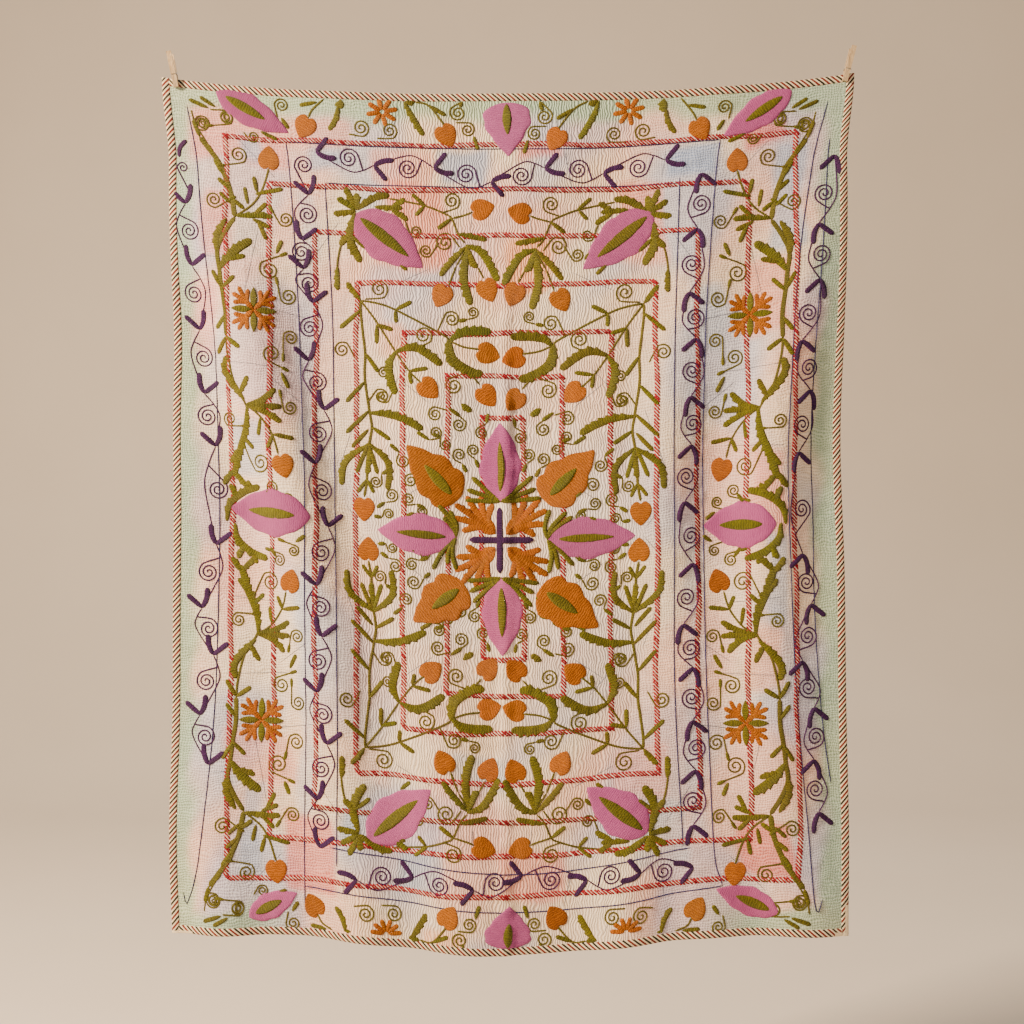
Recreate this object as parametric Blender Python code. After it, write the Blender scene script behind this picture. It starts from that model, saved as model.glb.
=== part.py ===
"""Suzani wall hanging: a bound, quilted sheet held at its top corners by two clothes pegs.

Metres, +Z up, +X to the right seen from the front, +Y towards the wall. The wall is the plane
y = 0, and the origin is the middle of the line between the pegs, on the wall.
"""

import math

import bmesh
import bpy
import numpy as np

# Cloth, cut flat
CLOTH_WIDTH = 1.42
CLOTH_HEIGHT = 1.77
PANEL_THICKNESS = 0.0024

# Binding: a tape folded over every edge
BINDING_WIDTH = 0.015
BINDING_THICKNESS = 0.001
MATING_GAP = 0.0003

# Hanging line: the top edge between the corners, and the hem
LEFT_CORNER_RISE = 0.004
RIGHT_CORNER_RISE = 0.013
TOP_SAG = 0.0385
TOP_SAG_SHAPE = 2.6
HEM_SAG = 0.038
HEM_SAG_WIDTH = 0.30
HANGING_SHARE = 0.986

# Distance of the cloth's middle surface from the wall, before its folds
TOP_STANDOFF = 0.012
HEM_STANDOFF = 0.020
RIGHT_HEM_STANDOFF = 0.014

# Cells of the sheet between the bindings, and the extra columns on the centre crease
COLUMNS = 27
ROWS = 36
CREASE_COLUMNS = (-0.030, -0.006, 0.016)

# Folds: each crest runs on the parabola through three points of the flat cloth (u to the right
# from its centre, v down from its top edge), and stands forward by a depth at each of them
FOLDS = (
    # name            top u, v, depth         middle u, v, depth      low u, v, depth         width
    ("left_peg", (-0.70, 0.04, 0.000), (-0.47, 0.80, 0.044), (-0.33, 1.52, 0.026), 0.27),
    ("right_peg", (0.70, 0.02, 0.000), (0.57, 0.72, 0.036), (0.59, 1.55, 0.020), 0.25),
    ("right_inner", (0.40, 0.20, 0.004), (0.335, 0.78, 0.018), (0.37, 1.45, 0.008), 0.20),
    ("left_inner", (-0.20, 0.35, 0.003), (-0.19, 0.90, 0.010), (-0.13, 1.60, 0.020), 0.30),
    ("billow", (-0.02, 0.10, 0.000), (0.00, 0.95, 0.012), (0.03, 1.70, 0.016), 0.90),
    ("left_hem", (-0.64, 0.90, 0.000), (-0.61, 1.45, 0.010), (-0.60, 1.77, 0.020), 0.20),
    ("right_hem", (0.30, 1.10, 0.000), (0.27, 1.50, 0.010), (0.24, 1.77, 0.020), 0.24),
)
CREASE_U = -0.006
CREASE_WIDTH = 0.044
CREASE_DEPTHS = ((0.30, 0.000), (0.50, 0.004), (0.78, 0.009), (1.00, 0.005), (1.77, 0.004))

# Share of the width that the quilting's fine crinkles take up, at stations down the cloth
CRINKLE = ((0.0, 0.0), (0.18, 0.021), (0.45, 0.022), (0.80, 0.012), (1.15, 0.021), (1.77, 0.013))

# Slow waves over the whole sheet: wavelengths across and down, phase, height
WAVES = ((0.46, 1.30, 0.6, 0.0022), (0.31, -0.85, 2.1, 0.0016), (0.24, 0.62, 4.0, 0.0009))

# Pegs: a beech bar each side of the cloth, measured up from the jaw's tip
PEG_LENGTH = 0.072
PEG_WIDTH = 0.010
LEG_THICKNESS = 0.0065
LEG_END_THICKNESS = 0.0034
LEG_SPLAY = 0.008
JAW_CHAMFER = 0.0012
LINE_NOTCH_HEIGHT = 0.013
LINE_NOTCH_RADIUS = 0.0021
COIL_HEIGHT = 0.029
COIL_RADIUS = 0.004
COIL_TURNS = 3
WIRE_RADIUS = 0.00075
GROOVE_HEIGHT = 0.0252
GROOVE_WIDTH = 0.0022
GROOVE_DEPTH = 0.0019
PEGS = (
    # name        tip x, tip z       lean, positive to the right
    ("left_peg", (-0.680, -0.0160), math.radians(-11.0)),
    ("right_peg", (0.690, -0.0040), math.radians(14.0)),
)
GRIP_FLAT_RADIUS = 0.066
GRIP_FREE_RADIUS = 0.26

# Jaws: half the space between them, and the cloth's middle surface when it is gripped
HALF_BOUND = PANEL_THICKNESS / 2 + MATING_GAP + BINDING_THICKNESS
HALF_JAW_GAP = HALF_BOUND + MATING_GAP
GRIPPED_STANDOFF = LEG_THICKNESS + HALF_JAW_GAP


def smooth_step(t):
    t = np.clip(t, 0.0, 1.0)
    return t * t * (3.0 - 2.0 * t)


def through_stations(v, stations):
    """A smooth curve over v that is level at each (v, value) station."""
    value = np.full_like(v, stations[0][1])
    for (v0, a), (v1, b) in zip(stations, stations[1:]):
        value = value + (b - a) * smooth_step((v - v0) / (v1 - v0))
    return value


def crest_line(v, points):
    """u on the parabola through three (u, v) points."""
    (u0, v0), (u1, v1), (u2, v2) = [point[:2] for point in points]
    return (
        u0 * (v - v1) * (v - v2) / ((v0 - v1) * (v0 - v2))
        + u1 * (v - v0) * (v - v2) / ((v1 - v0) * (v1 - v2))
        + u2 * (v - v0) * (v - v1) / ((v2 - v0) * (v2 - v1))
    )


def bump(distance, width):
    """A raised cosine, 1 on the crest and 0 from half the width on."""
    return 0.5 * (1.0 + np.cos(np.pi * np.clip(2.0 * distance / width, -1.0, 1.0)))


def grip_points():
    """Where the pegs hold the flat cloth, as (u, v) under the middle of each jaw."""
    half = CLOTH_WIDTH / 2
    return [(math.copysign(half - 0.030, tip[0]), 0.011) for _, tip, _ in PEGS]


def standoff(u, v):
    """How far the middle surface stands off the wall at the cloth point (u, v)."""
    down = v / CLOTH_HEIGHT
    free = TOP_STANDOFF + HEM_STANDOFF * down + RIGHT_HEM_STANDOFF * down * u / CLOTH_WIDTH
    for _, top, middle, low, width in FOLDS:
        depth = through_stations(v, [point[1:] for point in (top, middle, low)])
        free = free + depth * bump(u - crest_line(v, (top, middle, low)), width)
    free = free + through_stations(v, CREASE_DEPTHS) * bump(u - CREASE_U, CREASE_WIDTH)
    for across, along, phase, height in WAVES:
        free = free + height * np.sin(2 * np.pi * (u / across + v / along) + phase)
    held = np.ones_like(free)
    for grip_u, grip_v in grip_points():
        reach = np.hypot(u - grip_u, v - grip_v)
        spread = (reach - GRIP_FLAT_RADIUS) / (GRIP_FREE_RADIUS - GRIP_FLAT_RADIUS)
        held = held * smooth_step(spread)
    return GRIPPED_STANDOFF + (free - GRIPPED_STANDOFF) * held


def hang_height(u, v):
    """z of the cloth point (u, v): the top edge's sag turns into the hem's on the way down."""
    side = u / (CLOTH_WIDTH / 2)
    rise = (RIGHT_CORNER_RISE + LEFT_CORNER_RISE) / 2 + (RIGHT_CORNER_RISE - LEFT_CORNER_RISE) / 2 * side
    top_edge = rise - TOP_SAG * (1.0 - np.abs(side) ** TOP_SAG_SHAPE)
    hem = -HEM_SAG * np.exp(-((u / HEM_SAG_WIDTH) ** 2))
    share = smooth_step(v / CLOTH_HEIGHT)
    return top_edge * (1.0 - share) + hem * share - HANGING_SHARE * v


def hang(columns, rows):
    """The middle surface at every column u and row v. x is found by walking along each row, so
    the cloth keeps its cut width where it folds."""
    step = 0.002
    reach = CLOTH_WIDTH / 2 + 0.01
    walk = np.arange(-reach, reach + step / 2, step)
    u, v = np.meshgrid(walk, rows)
    away = standoff(u, v)
    slope = np.gradient(away, step, axis=1)
    run = np.sqrt(1.0 - np.clip(slope, -0.8, 0.8) ** 2) * step
    x = np.cumsum(run, axis=1) - run / 2
    x = x - np.array([np.interp(0.0, walk, line) for line in x])[:, None]
    x = np.array([np.interp(columns, walk, line) for line in x])
    u, v = np.meshgrid(columns, rows)
    x = x * (1.0 - through_stations(v, CRINKLE))
    return np.stack((x, -standoff(u, v), hang_height(u, v)), axis=-1)


def hang_normals(columns, rows):
    """Unit normals of the middle surface, pointing away from the wall."""
    step = 0.001
    across = hang(columns + step, rows) - hang(columns - step, rows)
    down = hang(columns, rows + step) - hang(columns, rows - step)
    normal = np.cross(down, across)
    normal = normal / np.linalg.norm(normal, axis=-1, keepdims=True)
    return np.where(normal[..., 1:2] > 0, -normal, normal)


def sheet_columns():
    """u of the panel's columns: its edges, the bindings' inner edges, even cells, the crease."""
    inner = CLOTH_WIDTH / 2 - BINDING_WIDTH
    even = np.linspace(-inner, inner, COLUMNS + 1)
    clear = [u for u in even if min(abs(u - c) for c in CREASE_COLUMNS) > 0.016]
    return np.array(sorted([-CLOTH_WIDTH / 2, CLOTH_WIDTH / 2, *clear, *CREASE_COLUMNS]))


def sheet_rows():
    """v of the panel's rows: its edges, the bindings' inner edges and even cells."""
    even = np.linspace(BINDING_WIDTH, CLOTH_HEIGHT - BINDING_WIDTH, ROWS + 1)
    return np.array([0.0, *even, CLOTH_HEIGHT])


def material(name, colour, roughness, metallic=0.0):
    made = bpy.data.materials.new(name)
    made.use_nodes = True
    shader = made.node_tree.nodes["Principled BSDF"]
    shader.inputs["Base Color"].default_value = (*colour, 1.0)
    shader.inputs["Roughness"].default_value = roughness
    shader.inputs["Metallic"].default_value = metallic
    return made


def add_object(name, vertices, faces, colour, roughness):
    """One closed body from its points and faces, its faces turned outwards."""
    mesh = bpy.data.meshes.new(name)
    mesh.from_pydata([tuple(p) for p in vertices], [], faces)
    body = bmesh.new()
    body.from_mesh(mesh)
    bmesh.ops.recalc_face_normals(body, faces=body.faces)
    body.to_mesh(mesh)
    body.free()
    made = bpy.data.objects.new(name, mesh)
    bpy.context.scene.collection.objects.link(made)
    made.data.materials.append(material(name, colour, roughness))
    return made


def split(a, b, c, d):
    """A four-cornered face as two triangles, cut the same way everywhere."""
    return [(a, b, c), (a, c, d)]


def build_panel():
    """The sheet: a front and a back grid half a thickness either side, joined round the rim."""
    columns, rows = sheet_columns(), sheet_rows()
    middle = hang(columns, rows)
    normal = hang_normals(columns, rows)
    layers = [middle + normal * side * PANEL_THICKNESS / 2 for side in (1, -1)]
    across, down = len(columns), len(rows)
    back = across * down

    def at(i, j, layer=0):
        return layer * back + j * across + i

    faces = []
    for j in range(down - 1):
        for i in range(across - 1):
            for layer in (0, 1):
                cell = [at(i, j, layer), at(i + 1, j, layer), at(i + 1, j + 1, layer), at(i, j + 1, layer)]
                faces += split(*cell)
    rim = [(i, 0) for i in range(across)]
    rim += [(across - 1, j) for j in range(1, down)]
    rim += [(i, down - 1) for i in range(across - 2, -1, -1)]
    rim += [(0, j) for j in range(down - 2, 0, -1)]
    for here, after in zip(rim, rim[1:] + rim[:1]):
        faces += split(at(*here), at(*after), at(*after, 1), at(*here, 1))
    vertices = np.concatenate([layer.reshape(-1, 3) for layer in layers])
    return add_object("panel", vertices, faces, (0.80, 0.71, 0.60), 0.9)


def build_binding(name, along, edge, inwards, vertical):
    """A tape folded over one edge: an eight-cornered U carried through the stations along it.
    Its faces are cut from low u and v to high, as the panel's are, so the gap between them is even."""
    inner_face = PANEL_THICKNESS / 2 + MATING_GAP
    outside = -(MATING_GAP + BINDING_THICKNESS)
    section = (
        (outside, HALF_BOUND), (BINDING_WIDTH, HALF_BOUND),
        (BINDING_WIDTH, inner_face), (-MATING_GAP, inner_face),
        (-MATING_GAP, -inner_face), (BINDING_WIDTH, -inner_face),
        (BINDING_WIDTH, -HALF_BOUND), (outside, -HALF_BOUND),
    )
    depths = sorted({depth for depth, _ in section})
    lines = np.array(sorted(edge + inwards * depth for depth in depths))
    columns, rows = (lines, along) if vertical else (along, lines)
    middle, normal = hang(columns, rows), hang_normals(columns, rows)
    if not vertical:
        middle, normal = middle.transpose(1, 0, 2), normal.transpose(1, 0, 2)
    vertices = []
    for station in range(len(along)):
        for depth, height in section:
            line = int(np.argmin(np.abs(lines - (edge + inwards * depth))))
            vertices.append(middle[station, line] + normal[station, line] * height)
    corners = len(section)
    faces = []
    for station in range(len(along) - 1):
        for corner in range(corners):
            after_corner = (corner + 1) % corners
            here, after = station * corners + corner, station * corners + after_corner
            if inwards * (section[after_corner][0] - section[corner][0]) >= 0:
                faces += split(here, after, after + corners, here + corners)
            else:
                faces += split(after, after + corners, here + corners, here)
    for first in (0, (len(along) - 1) * corners):
        for cap in ((0, 1, 2, 3), (0, 3, 4, 7), (7, 4, 5, 6)):
            faces += split(*[first + corner for corner in cap])
    return add_object(name, vertices, faces, (0.36, 0.24, 0.16), 0.85)


def build_bindings():
    """The side tapes run the full height, and the top and bottom ones lie between them."""
    half = CLOTH_WIDTH / 2
    end = half - BINDING_WIDTH - MATING_GAP
    rows = sheet_rows()
    columns = sheet_columns()
    between = np.array([-end, *columns[2:-2], end])
    build_binding("binding_left", rows, -half, 1, True)
    build_binding("binding_right", rows, half, -1, True)
    build_binding("binding_top", between, 0.0, 1, False)
    build_binding("binding_bottom", between, CLOTH_HEIGHT, -1, False)


def arc(centre, radius, start, end, steps):
    """Points on a circle about centre, from angle start to angle end."""
    angles = [start + (end - start) * i / steps for i in range(steps + 1)]
    return [(centre[0] + radius * math.cos(a), centre[1] + radius * math.sin(a)) for a in angles]


def leg_outline(front):
    """A leg's side view as (height above the jaw's tip, distance from the wall). Its jaw faces the
    cloth squarely, its coil seat is a round hollow, and the front one's outer face is splayed."""
    seat_radius = COIL_RADIUS + MATING_GAP
    face = HALF_JAW_GAP
    outer = face + LEG_THICKNESS
    splay = LEG_SPLAY if front else 0.0

    def outer_at(height):
        return outer + splay * height / PEG_LENGTH

    seat_half = math.asin(face / seat_radius)
    notch = arc((LINE_NOTCH_HEIGHT, face), LINE_NOTCH_RADIUS, math.pi, 0.0, 6)
    seat = arc((COIL_HEIGHT, 0.0), seat_radius, math.pi - seat_half, seat_half, 6)
    low, high = GROOVE_HEIGHT - GROOVE_WIDTH / 2, GROOVE_HEIGHT + GROOVE_WIDTH / 2
    floor = outer_at(GROOVE_HEIGHT) - GROOVE_DEPTH
    inside = [(0.0, face + JAW_CHAMFER), (JAW_CHAMFER, face), *notch, *seat]
    end_inside = outer_at(PEG_LENGTH) - LEG_END_THICKNESS
    outside = [
        (PEG_LENGTH, end_inside), (PEG_LENGTH, outer_at(PEG_LENGTH)),
        (high, outer_at(high)), (high, floor), (low, floor), (low, outer_at(low)),
        (0.0, outer_at(0.0)),
    ]
    side = 1 if front else -1
    return [(height, GRIPPED_STANDOFF + side * away) for height, away in inside + outside]


def place_peg_piece(piece, tip, lean):
    piece.location = (tip[0], 0.0, tip[1])
    piece.rotation_euler = (0.0, lean, 0.0)


def build_leg(name, front, tip, lean):
    """The side view extruded to the peg's width."""
    outline = leg_outline(front)
    body = bmesh.new()
    ring = [body.verts.new((-PEG_WIDTH / 2, -away, height)) for height, away in outline]
    cap = body.faces.new(ring)
    grown = bmesh.ops.extrude_face_region(body, geom=[cap])
    moved = [item for item in grown["geom"] if isinstance(item, bmesh.types.BMVert)]
    bmesh.ops.translate(body, verts=moved, vec=(PEG_WIDTH, 0.0, 0.0))
    bmesh.ops.triangulate(body, faces=body.faces)
    bmesh.ops.recalc_face_normals(body, faces=body.faces)
    mesh = bpy.data.meshes.new(name)
    body.to_mesh(mesh)
    body.free()
    leg = bpy.data.objects.new(name, mesh)
    bpy.context.scene.collection.objects.link(leg)
    leg.data.materials.append(material(name, (0.62, 0.44, 0.28), 0.6))
    place_peg_piece(leg, tip, lean)


def spring_path():
    """One wire: across the front groove, back along the leg's side, round the coil, and on to the
    groove of the leg on the wall. Points are (x, distance from the wall, height above the tip)."""
    side = PEG_WIDTH / 2 + MATING_GAP + WIRE_RADIUS
    bend = 0.001
    coil = COIL_RADIUS - WIRE_RADIUS
    outer = HALF_JAW_GAP + LEG_THICKNESS
    sunk = GROOVE_DEPTH - MATING_GAP - WIRE_RADIUS
    front = GRIPPED_STANDOFF + outer + LEG_SPLAY * GROOVE_HEIGHT / PEG_LENGTH - sunk
    back = GRIPPED_STANDOFF - outer + sunk
    path = [(-PEG_WIDTH * 0.4, front, GROOVE_HEIGHT)]
    path += [(x, away, GROOVE_HEIGHT) for x, away in arc((side - bend, front - bend), bend, math.pi / 2, 0.0, 4)]
    steps = 12 * COIL_TURNS
    for i in range(steps + 1):
        angle = math.pi + 2 * math.pi * COIL_TURNS * i / steps
        x = side - 2 * side * i / steps
        path.append((x, GRIPPED_STANDOFF + coil * math.sin(angle), COIL_HEIGHT + coil * math.cos(angle)))
    corner = arc((bend - side, back + bend), bend, math.pi, 1.5 * math.pi, 4)
    path += [(x, away, GROOVE_HEIGHT) for x, away in corner]
    path.append((PEG_WIDTH * 0.4, back, GROOVE_HEIGHT))
    return path


def build_spring(name, tip, lean):
    """The wire's path as a round tube with closed ends."""
    curve = bpy.data.curves.new(name, "CURVE")
    curve.dimensions = "3D"
    curve.bevel_depth = WIRE_RADIUS
    curve.bevel_resolution = 1
    curve.use_fill_caps = True
    path = spring_path()
    line = curve.splines.new("POLY")
    line.points.add(len(path) - 1)
    for point, (x, away, height) in zip(line.points, path):
        point.co = (x, -away, height, 1.0)
    spring = bpy.data.objects.new(name, curve)
    bpy.context.scene.collection.objects.link(spring)
    curve.materials.append(material(name, (0.55, 0.55, 0.56), 0.3, 1.0))
    place_peg_piece(spring, tip, lean)


def build_pegs():
    for name, tip, lean in PEGS:
        build_leg(name + "_back_leg", False, tip, lean)
        build_leg(name + "_front_leg", True, tip, lean)
        build_spring(name + "_spring", tip, lean)


def main():
    for old in list(bpy.data.objects):
        bpy.data.objects.remove(old)
    build_panel()
    build_bindings()
    build_pegs()


main()
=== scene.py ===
# Suzani wall hanging on two clothes pegs: quilted cloth, braid, embroidery, pegs and studio.
# Metres, +Z up, +X to the right seen from the front, +Y to the wall. Places on the flat cloth are
# in mm from the middle of the pattern, a to the right and b up.

import math

import bpy
import numpy as np
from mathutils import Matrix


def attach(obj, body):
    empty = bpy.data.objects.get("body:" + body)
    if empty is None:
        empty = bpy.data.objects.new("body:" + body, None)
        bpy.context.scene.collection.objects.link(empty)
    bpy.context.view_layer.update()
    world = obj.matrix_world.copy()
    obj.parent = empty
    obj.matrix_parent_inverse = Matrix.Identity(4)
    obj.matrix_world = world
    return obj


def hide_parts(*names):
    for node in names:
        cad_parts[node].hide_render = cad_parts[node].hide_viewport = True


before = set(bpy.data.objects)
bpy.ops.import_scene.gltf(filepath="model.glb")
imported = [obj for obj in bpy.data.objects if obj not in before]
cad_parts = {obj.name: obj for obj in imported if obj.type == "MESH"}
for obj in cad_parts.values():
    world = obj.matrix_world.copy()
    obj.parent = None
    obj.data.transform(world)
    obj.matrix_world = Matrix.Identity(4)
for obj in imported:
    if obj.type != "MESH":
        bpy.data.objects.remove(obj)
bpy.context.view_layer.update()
print("frame loaded")


# small helpers

def linear(hexColour):
    # sRGB hex to linear: c / 12.92 below 0.04045, else ((c + 0.055) / 1.055) ^ 2.4
    parts = [int(hexColour[i:i + 2], 16) / 255 for i in (1, 3, 5)]
    return tuple(c / 12.92 if c <= 0.04045 else ((c + 0.055) / 1.055) ** 2.4 for c in parts) + (1.0,)


def addNode(tree, kind, values=None, links=None, **settings):
    made = tree.nodes.new(kind)
    for name, value in settings.items():
        setattr(made, name, value)
    for socket, value in (values or {}).items():
        made.inputs[socket].default_value = value
    for socket, source in (links or {}).items():
        tree.links.new(source, made.inputs[socket])
    return made


def newMaterial(name, roughness, **sockets):
    made = bpy.data.materials.new(name)
    made.use_nodes = True
    shader = made.node_tree.nodes["Principled BSDF"]
    shader.inputs["Roughness"].default_value = roughness
    for socket, value in sockets.items():
        shader.inputs[socket.replace("_", " ")].default_value = value
    return made, made.node_tree, shader


def smoothStep(t):
    t = np.clip(t, 0.0, 1.0)
    return t * t * (3.0 - 2.0 * t)


def meshObject(name, points, faces, material, uvs=None, tint=None, smooth=True):
    # points (N, 3), faces (M, 4), a triangle's last corner given twice; uvs (N, 2) in metres and
    # tint (N, 3) go on by vertex
    mesh = bpy.data.meshes.new(name)
    mesh.vertices.add(len(points))
    mesh.vertices.foreach_set("co", np.ascontiguousarray(points, dtype=np.float32).ravel())
    faces = np.asarray(faces, dtype=np.int32)
    sizes = np.where(faces[:, 2] == faces[:, 3], 3, 4).astype(np.int32)
    corners = faces[np.arange(4) < sizes[:, None]]
    mesh.loops.add(len(corners))
    mesh.polygons.add(len(faces))
    mesh.polygons.foreach_set("loop_start", (np.cumsum(sizes) - sizes).astype(np.int32))
    mesh.polygons.foreach_set("loop_total", sizes)
    mesh.loops.foreach_set("vertex_index", corners)
    mesh.update(calc_edges=True)
    if uvs is not None:
        layer = mesh.uv_layers.new(name="thread")
        layer.data.foreach_set("uv", np.ascontiguousarray(uvs[corners], dtype=np.float32).ravel())
    if tint is not None:
        layer = mesh.color_attributes.new(name="tint", type="FLOAT_COLOR", domain="POINT")
        rgba = np.ones((len(points), 4), dtype=np.float32)
        rgba[:, :3] = tint
        layer.data.foreach_set("color", rgba.ravel())
    mesh.polygons.foreach_set("use_smooth", np.full(len(faces), smooth))
    mesh.validate()
    made = bpy.data.objects.new(name, mesh)
    bpy.context.scene.collection.objects.link(made)
    mesh.materials.append(material)
    return made


# how the cloth hangs, as in the CAD

drape = {
    "width": 1.42, "height": 1.77, "thickness": 0.0024,
    "leftRise": 0.004, "rightRise": 0.013, "topSag": 0.0385, "topShape": 2.6,
    "hemSag": 0.038, "hemWidth": 0.30, "share": 0.986,
    "topStand": 0.012, "hemStand": 0.020, "rightHemStand": 0.014,
    "gripStand": 0.0093, "gripFlat": 0.066, "gripFree": 0.26,
    "grips": ((-0.68, 0.011), (0.68, 0.011)),
    "folds": (  # top u, v, depth, middle u, v, depth, low u, v, depth, width
        ((-0.70, 0.04, 0.000), (-0.47, 0.80, 0.044), (-0.33, 1.52, 0.026), 0.27),
        ((0.70, 0.02, 0.000), (0.57, 0.72, 0.036), (0.59, 1.55, 0.020), 0.25),
        ((0.40, 0.20, 0.004), (0.335, 0.78, 0.018), (0.37, 1.45, 0.008), 0.20),
        ((-0.20, 0.35, 0.003), (-0.19, 0.90, 0.010), (-0.13, 1.60, 0.020), 0.30),
        ((-0.02, 0.10, 0.000), (0.00, 0.95, 0.012), (0.03, 1.70, 0.016), 0.90),
        ((-0.64, 0.90, 0.000), (-0.61, 1.45, 0.010), (-0.60, 1.77, 0.020), 0.20),
        ((0.30, 1.10, 0.000), (0.27, 1.50, 0.010), (0.24, 1.77, 0.020), 0.24),
    ),
    "creaseU": -0.006, "creaseWidth": 0.044,
    "crease": ((0.30, 0.000), (0.50, 0.004), (0.78, 0.009), (1.00, 0.005), (1.77, 0.004)),
    "crinkle": ((0.0, 0.0), (0.18, 0.021), (0.45, 0.022), (0.80, 0.012), (1.15, 0.021), (1.77, 0.013)),
    "waves": ((0.46, 1.30, 0.6, 0.0022), (0.31, -0.85, 2.1, 0.0016), (0.24, 0.62, 4.0, 0.0009)),
    "step": 0.004, "over": 0.012, "pucker": 0.0007,
}
patternU, patternV = -0.0154, 0.9183    # the pattern's middle on the cloth, in metres


def throughStations(v, stations):
    value = np.full_like(v, stations[0][1])
    for (v0, a), (v1, b) in zip(stations, stations[1:]):
        value = value + (b - a) * smoothStep((v - v0) / (v1 - v0))
    return value


def standoff(u, v):
    # distance from the wall: a slow slope, raised-cosine folds on parabolas, the crease, waves
    down = v / drape["height"]
    free = drape["topStand"] + drape["hemStand"] * down + drape["rightHemStand"] * down * u / drape["width"]
    for top, middle, low, width in drape["folds"]:
        (u0, v0), (u1, v1), (u2, v2) = top[:2], middle[:2], low[:2]
        crest = (u0 * (v - v1) * (v - v2) / ((v0 - v1) * (v0 - v2))
                 + u1 * (v - v0) * (v - v2) / ((v1 - v0) * (v1 - v2))
                 + u2 * (v - v0) * (v - v1) / ((v2 - v0) * (v2 - v1)))
        depth = throughStations(v, [point[1:] for point in (top, middle, low)])
        free = free + depth * 0.5 * (1 + np.cos(np.pi * np.clip(2 * (u - crest) / width, -1, 1)))
    creased = 0.5 * (1 + np.cos(np.pi * np.clip(2 * (u - drape["creaseU"]) / drape["creaseWidth"], -1, 1)))
    free = free + throughStations(v, drape["crease"]) * creased
    for across, along, phase, height in drape["waves"]:
        free = free + height * np.sin(2 * np.pi * (u / across + v / along) + phase)
    held = np.ones_like(free)
    for gripU, gripV in drape["grips"]:
        reach = np.hypot(u - gripU, v - gripV)
        held = held * smoothStep((reach - drape["gripFlat"]) / (drape["gripFree"] - drape["gripFlat"]))
    return drape["gripStand"] + (free - drape["gripStand"]) * held


def hangGrid():
    # middle surface on an even grid; x is walked along each row, so the cut width is kept
    over, step, half = drape["over"], drape["step"], drape["width"] / 2
    gridU = np.arange(-half - over, half + over + step / 2, step)
    gridV = np.arange(-over, drape["height"] + over + step / 2, step)
    walk = np.arange(-half - over - 0.01, half + over + 0.011, 0.002)
    u, v = np.meshgrid(walk, gridV)
    slope = np.gradient(standoff(u, v), 0.002, axis=1)
    run = np.sqrt(1.0 - np.clip(slope, -0.8, 0.8) ** 2) * 0.002
    x = np.cumsum(run, axis=1) - run / 2
    x = x - np.array([np.interp(0.0, walk, line) for line in x])[:, None]
    x = np.array([np.interp(gridU, walk, line) for line in x])
    u, v = np.meshgrid(gridU, gridV)
    x = x * (1.0 - throughStations(v, drape["crinkle"]))
    side = u / half
    rise = (drape["rightRise"] + drape["leftRise"]) / 2 + (drape["rightRise"] - drape["leftRise"]) / 2 * side
    topEdge = rise - drape["topSag"] * (1.0 - np.abs(side) ** drape["topShape"])
    hem = -drape["hemSag"] * np.exp(-((u / drape["hemWidth"]) ** 2))
    share = smoothStep(v / drape["height"])
    z = topEdge * (1.0 - share) + hem * share - drape["share"] * v
    place = np.stack((x, -standoff(u, v), z), axis=-1)
    normal = np.cross(np.gradient(place, axis=0), np.gradient(place, axis=1))
    normal = normal / np.linalg.norm(normal, axis=-1, keepdims=True)
    normal = np.where(normal[..., 1:2] > 0, -normal, normal)
    return gridU, gridV, place, normal


gridU, gridV, gridPlace, gridNormal = hangGrid()


def pucker(u, v):
    # the quilting's dimples: crossed sines 26 to 45 mm long, faded out at the edges
    edge = smoothStep((drape["width"] / 2 - 0.02 - np.abs(u)) / 0.04)
    edge = edge * smoothStep((v - 0.02) / 0.04) * smoothStep((drape["height"] - 0.02 - v) / 0.04)
    rows = np.sin(2 * np.pi * (u / 0.027 + 0.35 * np.sin(2 * np.pi * v / 0.21)))
    rows = rows * (0.5 + 0.5 * np.sin(2 * np.pi * (v / 0.083 + 0.4 * np.sin(2 * np.pi * u / 0.17))))
    cross = np.sin(2 * np.pi * (v / 0.045 + u / 0.19 + 0.3 * np.sin(2 * np.pi * u / 0.13)))
    return drape["pucker"] * edge * (0.8 * rows + 0.6 * cross)


def hangPoint(u, v, height):
    # bilinear look-up of the hanging surface, moved out along its normal by height
    i = np.clip((u - gridU[0]) / drape["step"], 0, len(gridU) - 1.001)
    j = np.clip((v - gridV[0]) / drape["step"], 0, len(gridV) - 1.001)
    i0, j0 = i.astype(int), j.astype(int)
    s, t = (i - i0)[..., None], (j - j0)[..., None]

    def mixed(grid):
        low = grid[j0, i0] * (1 - s) + grid[j0, i0 + 1] * s
        high = grid[j0 + 1, i0] * (1 - s) + grid[j0 + 1, i0 + 1] * s
        return low * (1 - t) + high * t

    return mixed(gridPlace) + mixed(gridNormal) * (height + pucker(u, v))[..., None]


def onCloth(a, b, height):
    # a point of the embroidery: flat place in mm, height in mm over the cloth's face
    u, v = a * 0.001 + patternU, patternV - b * 0.001
    return hangPoint(u, v, drape["thickness"] / 2 + height * 0.001)


print("drape laid out")


# the quilted ground

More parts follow.
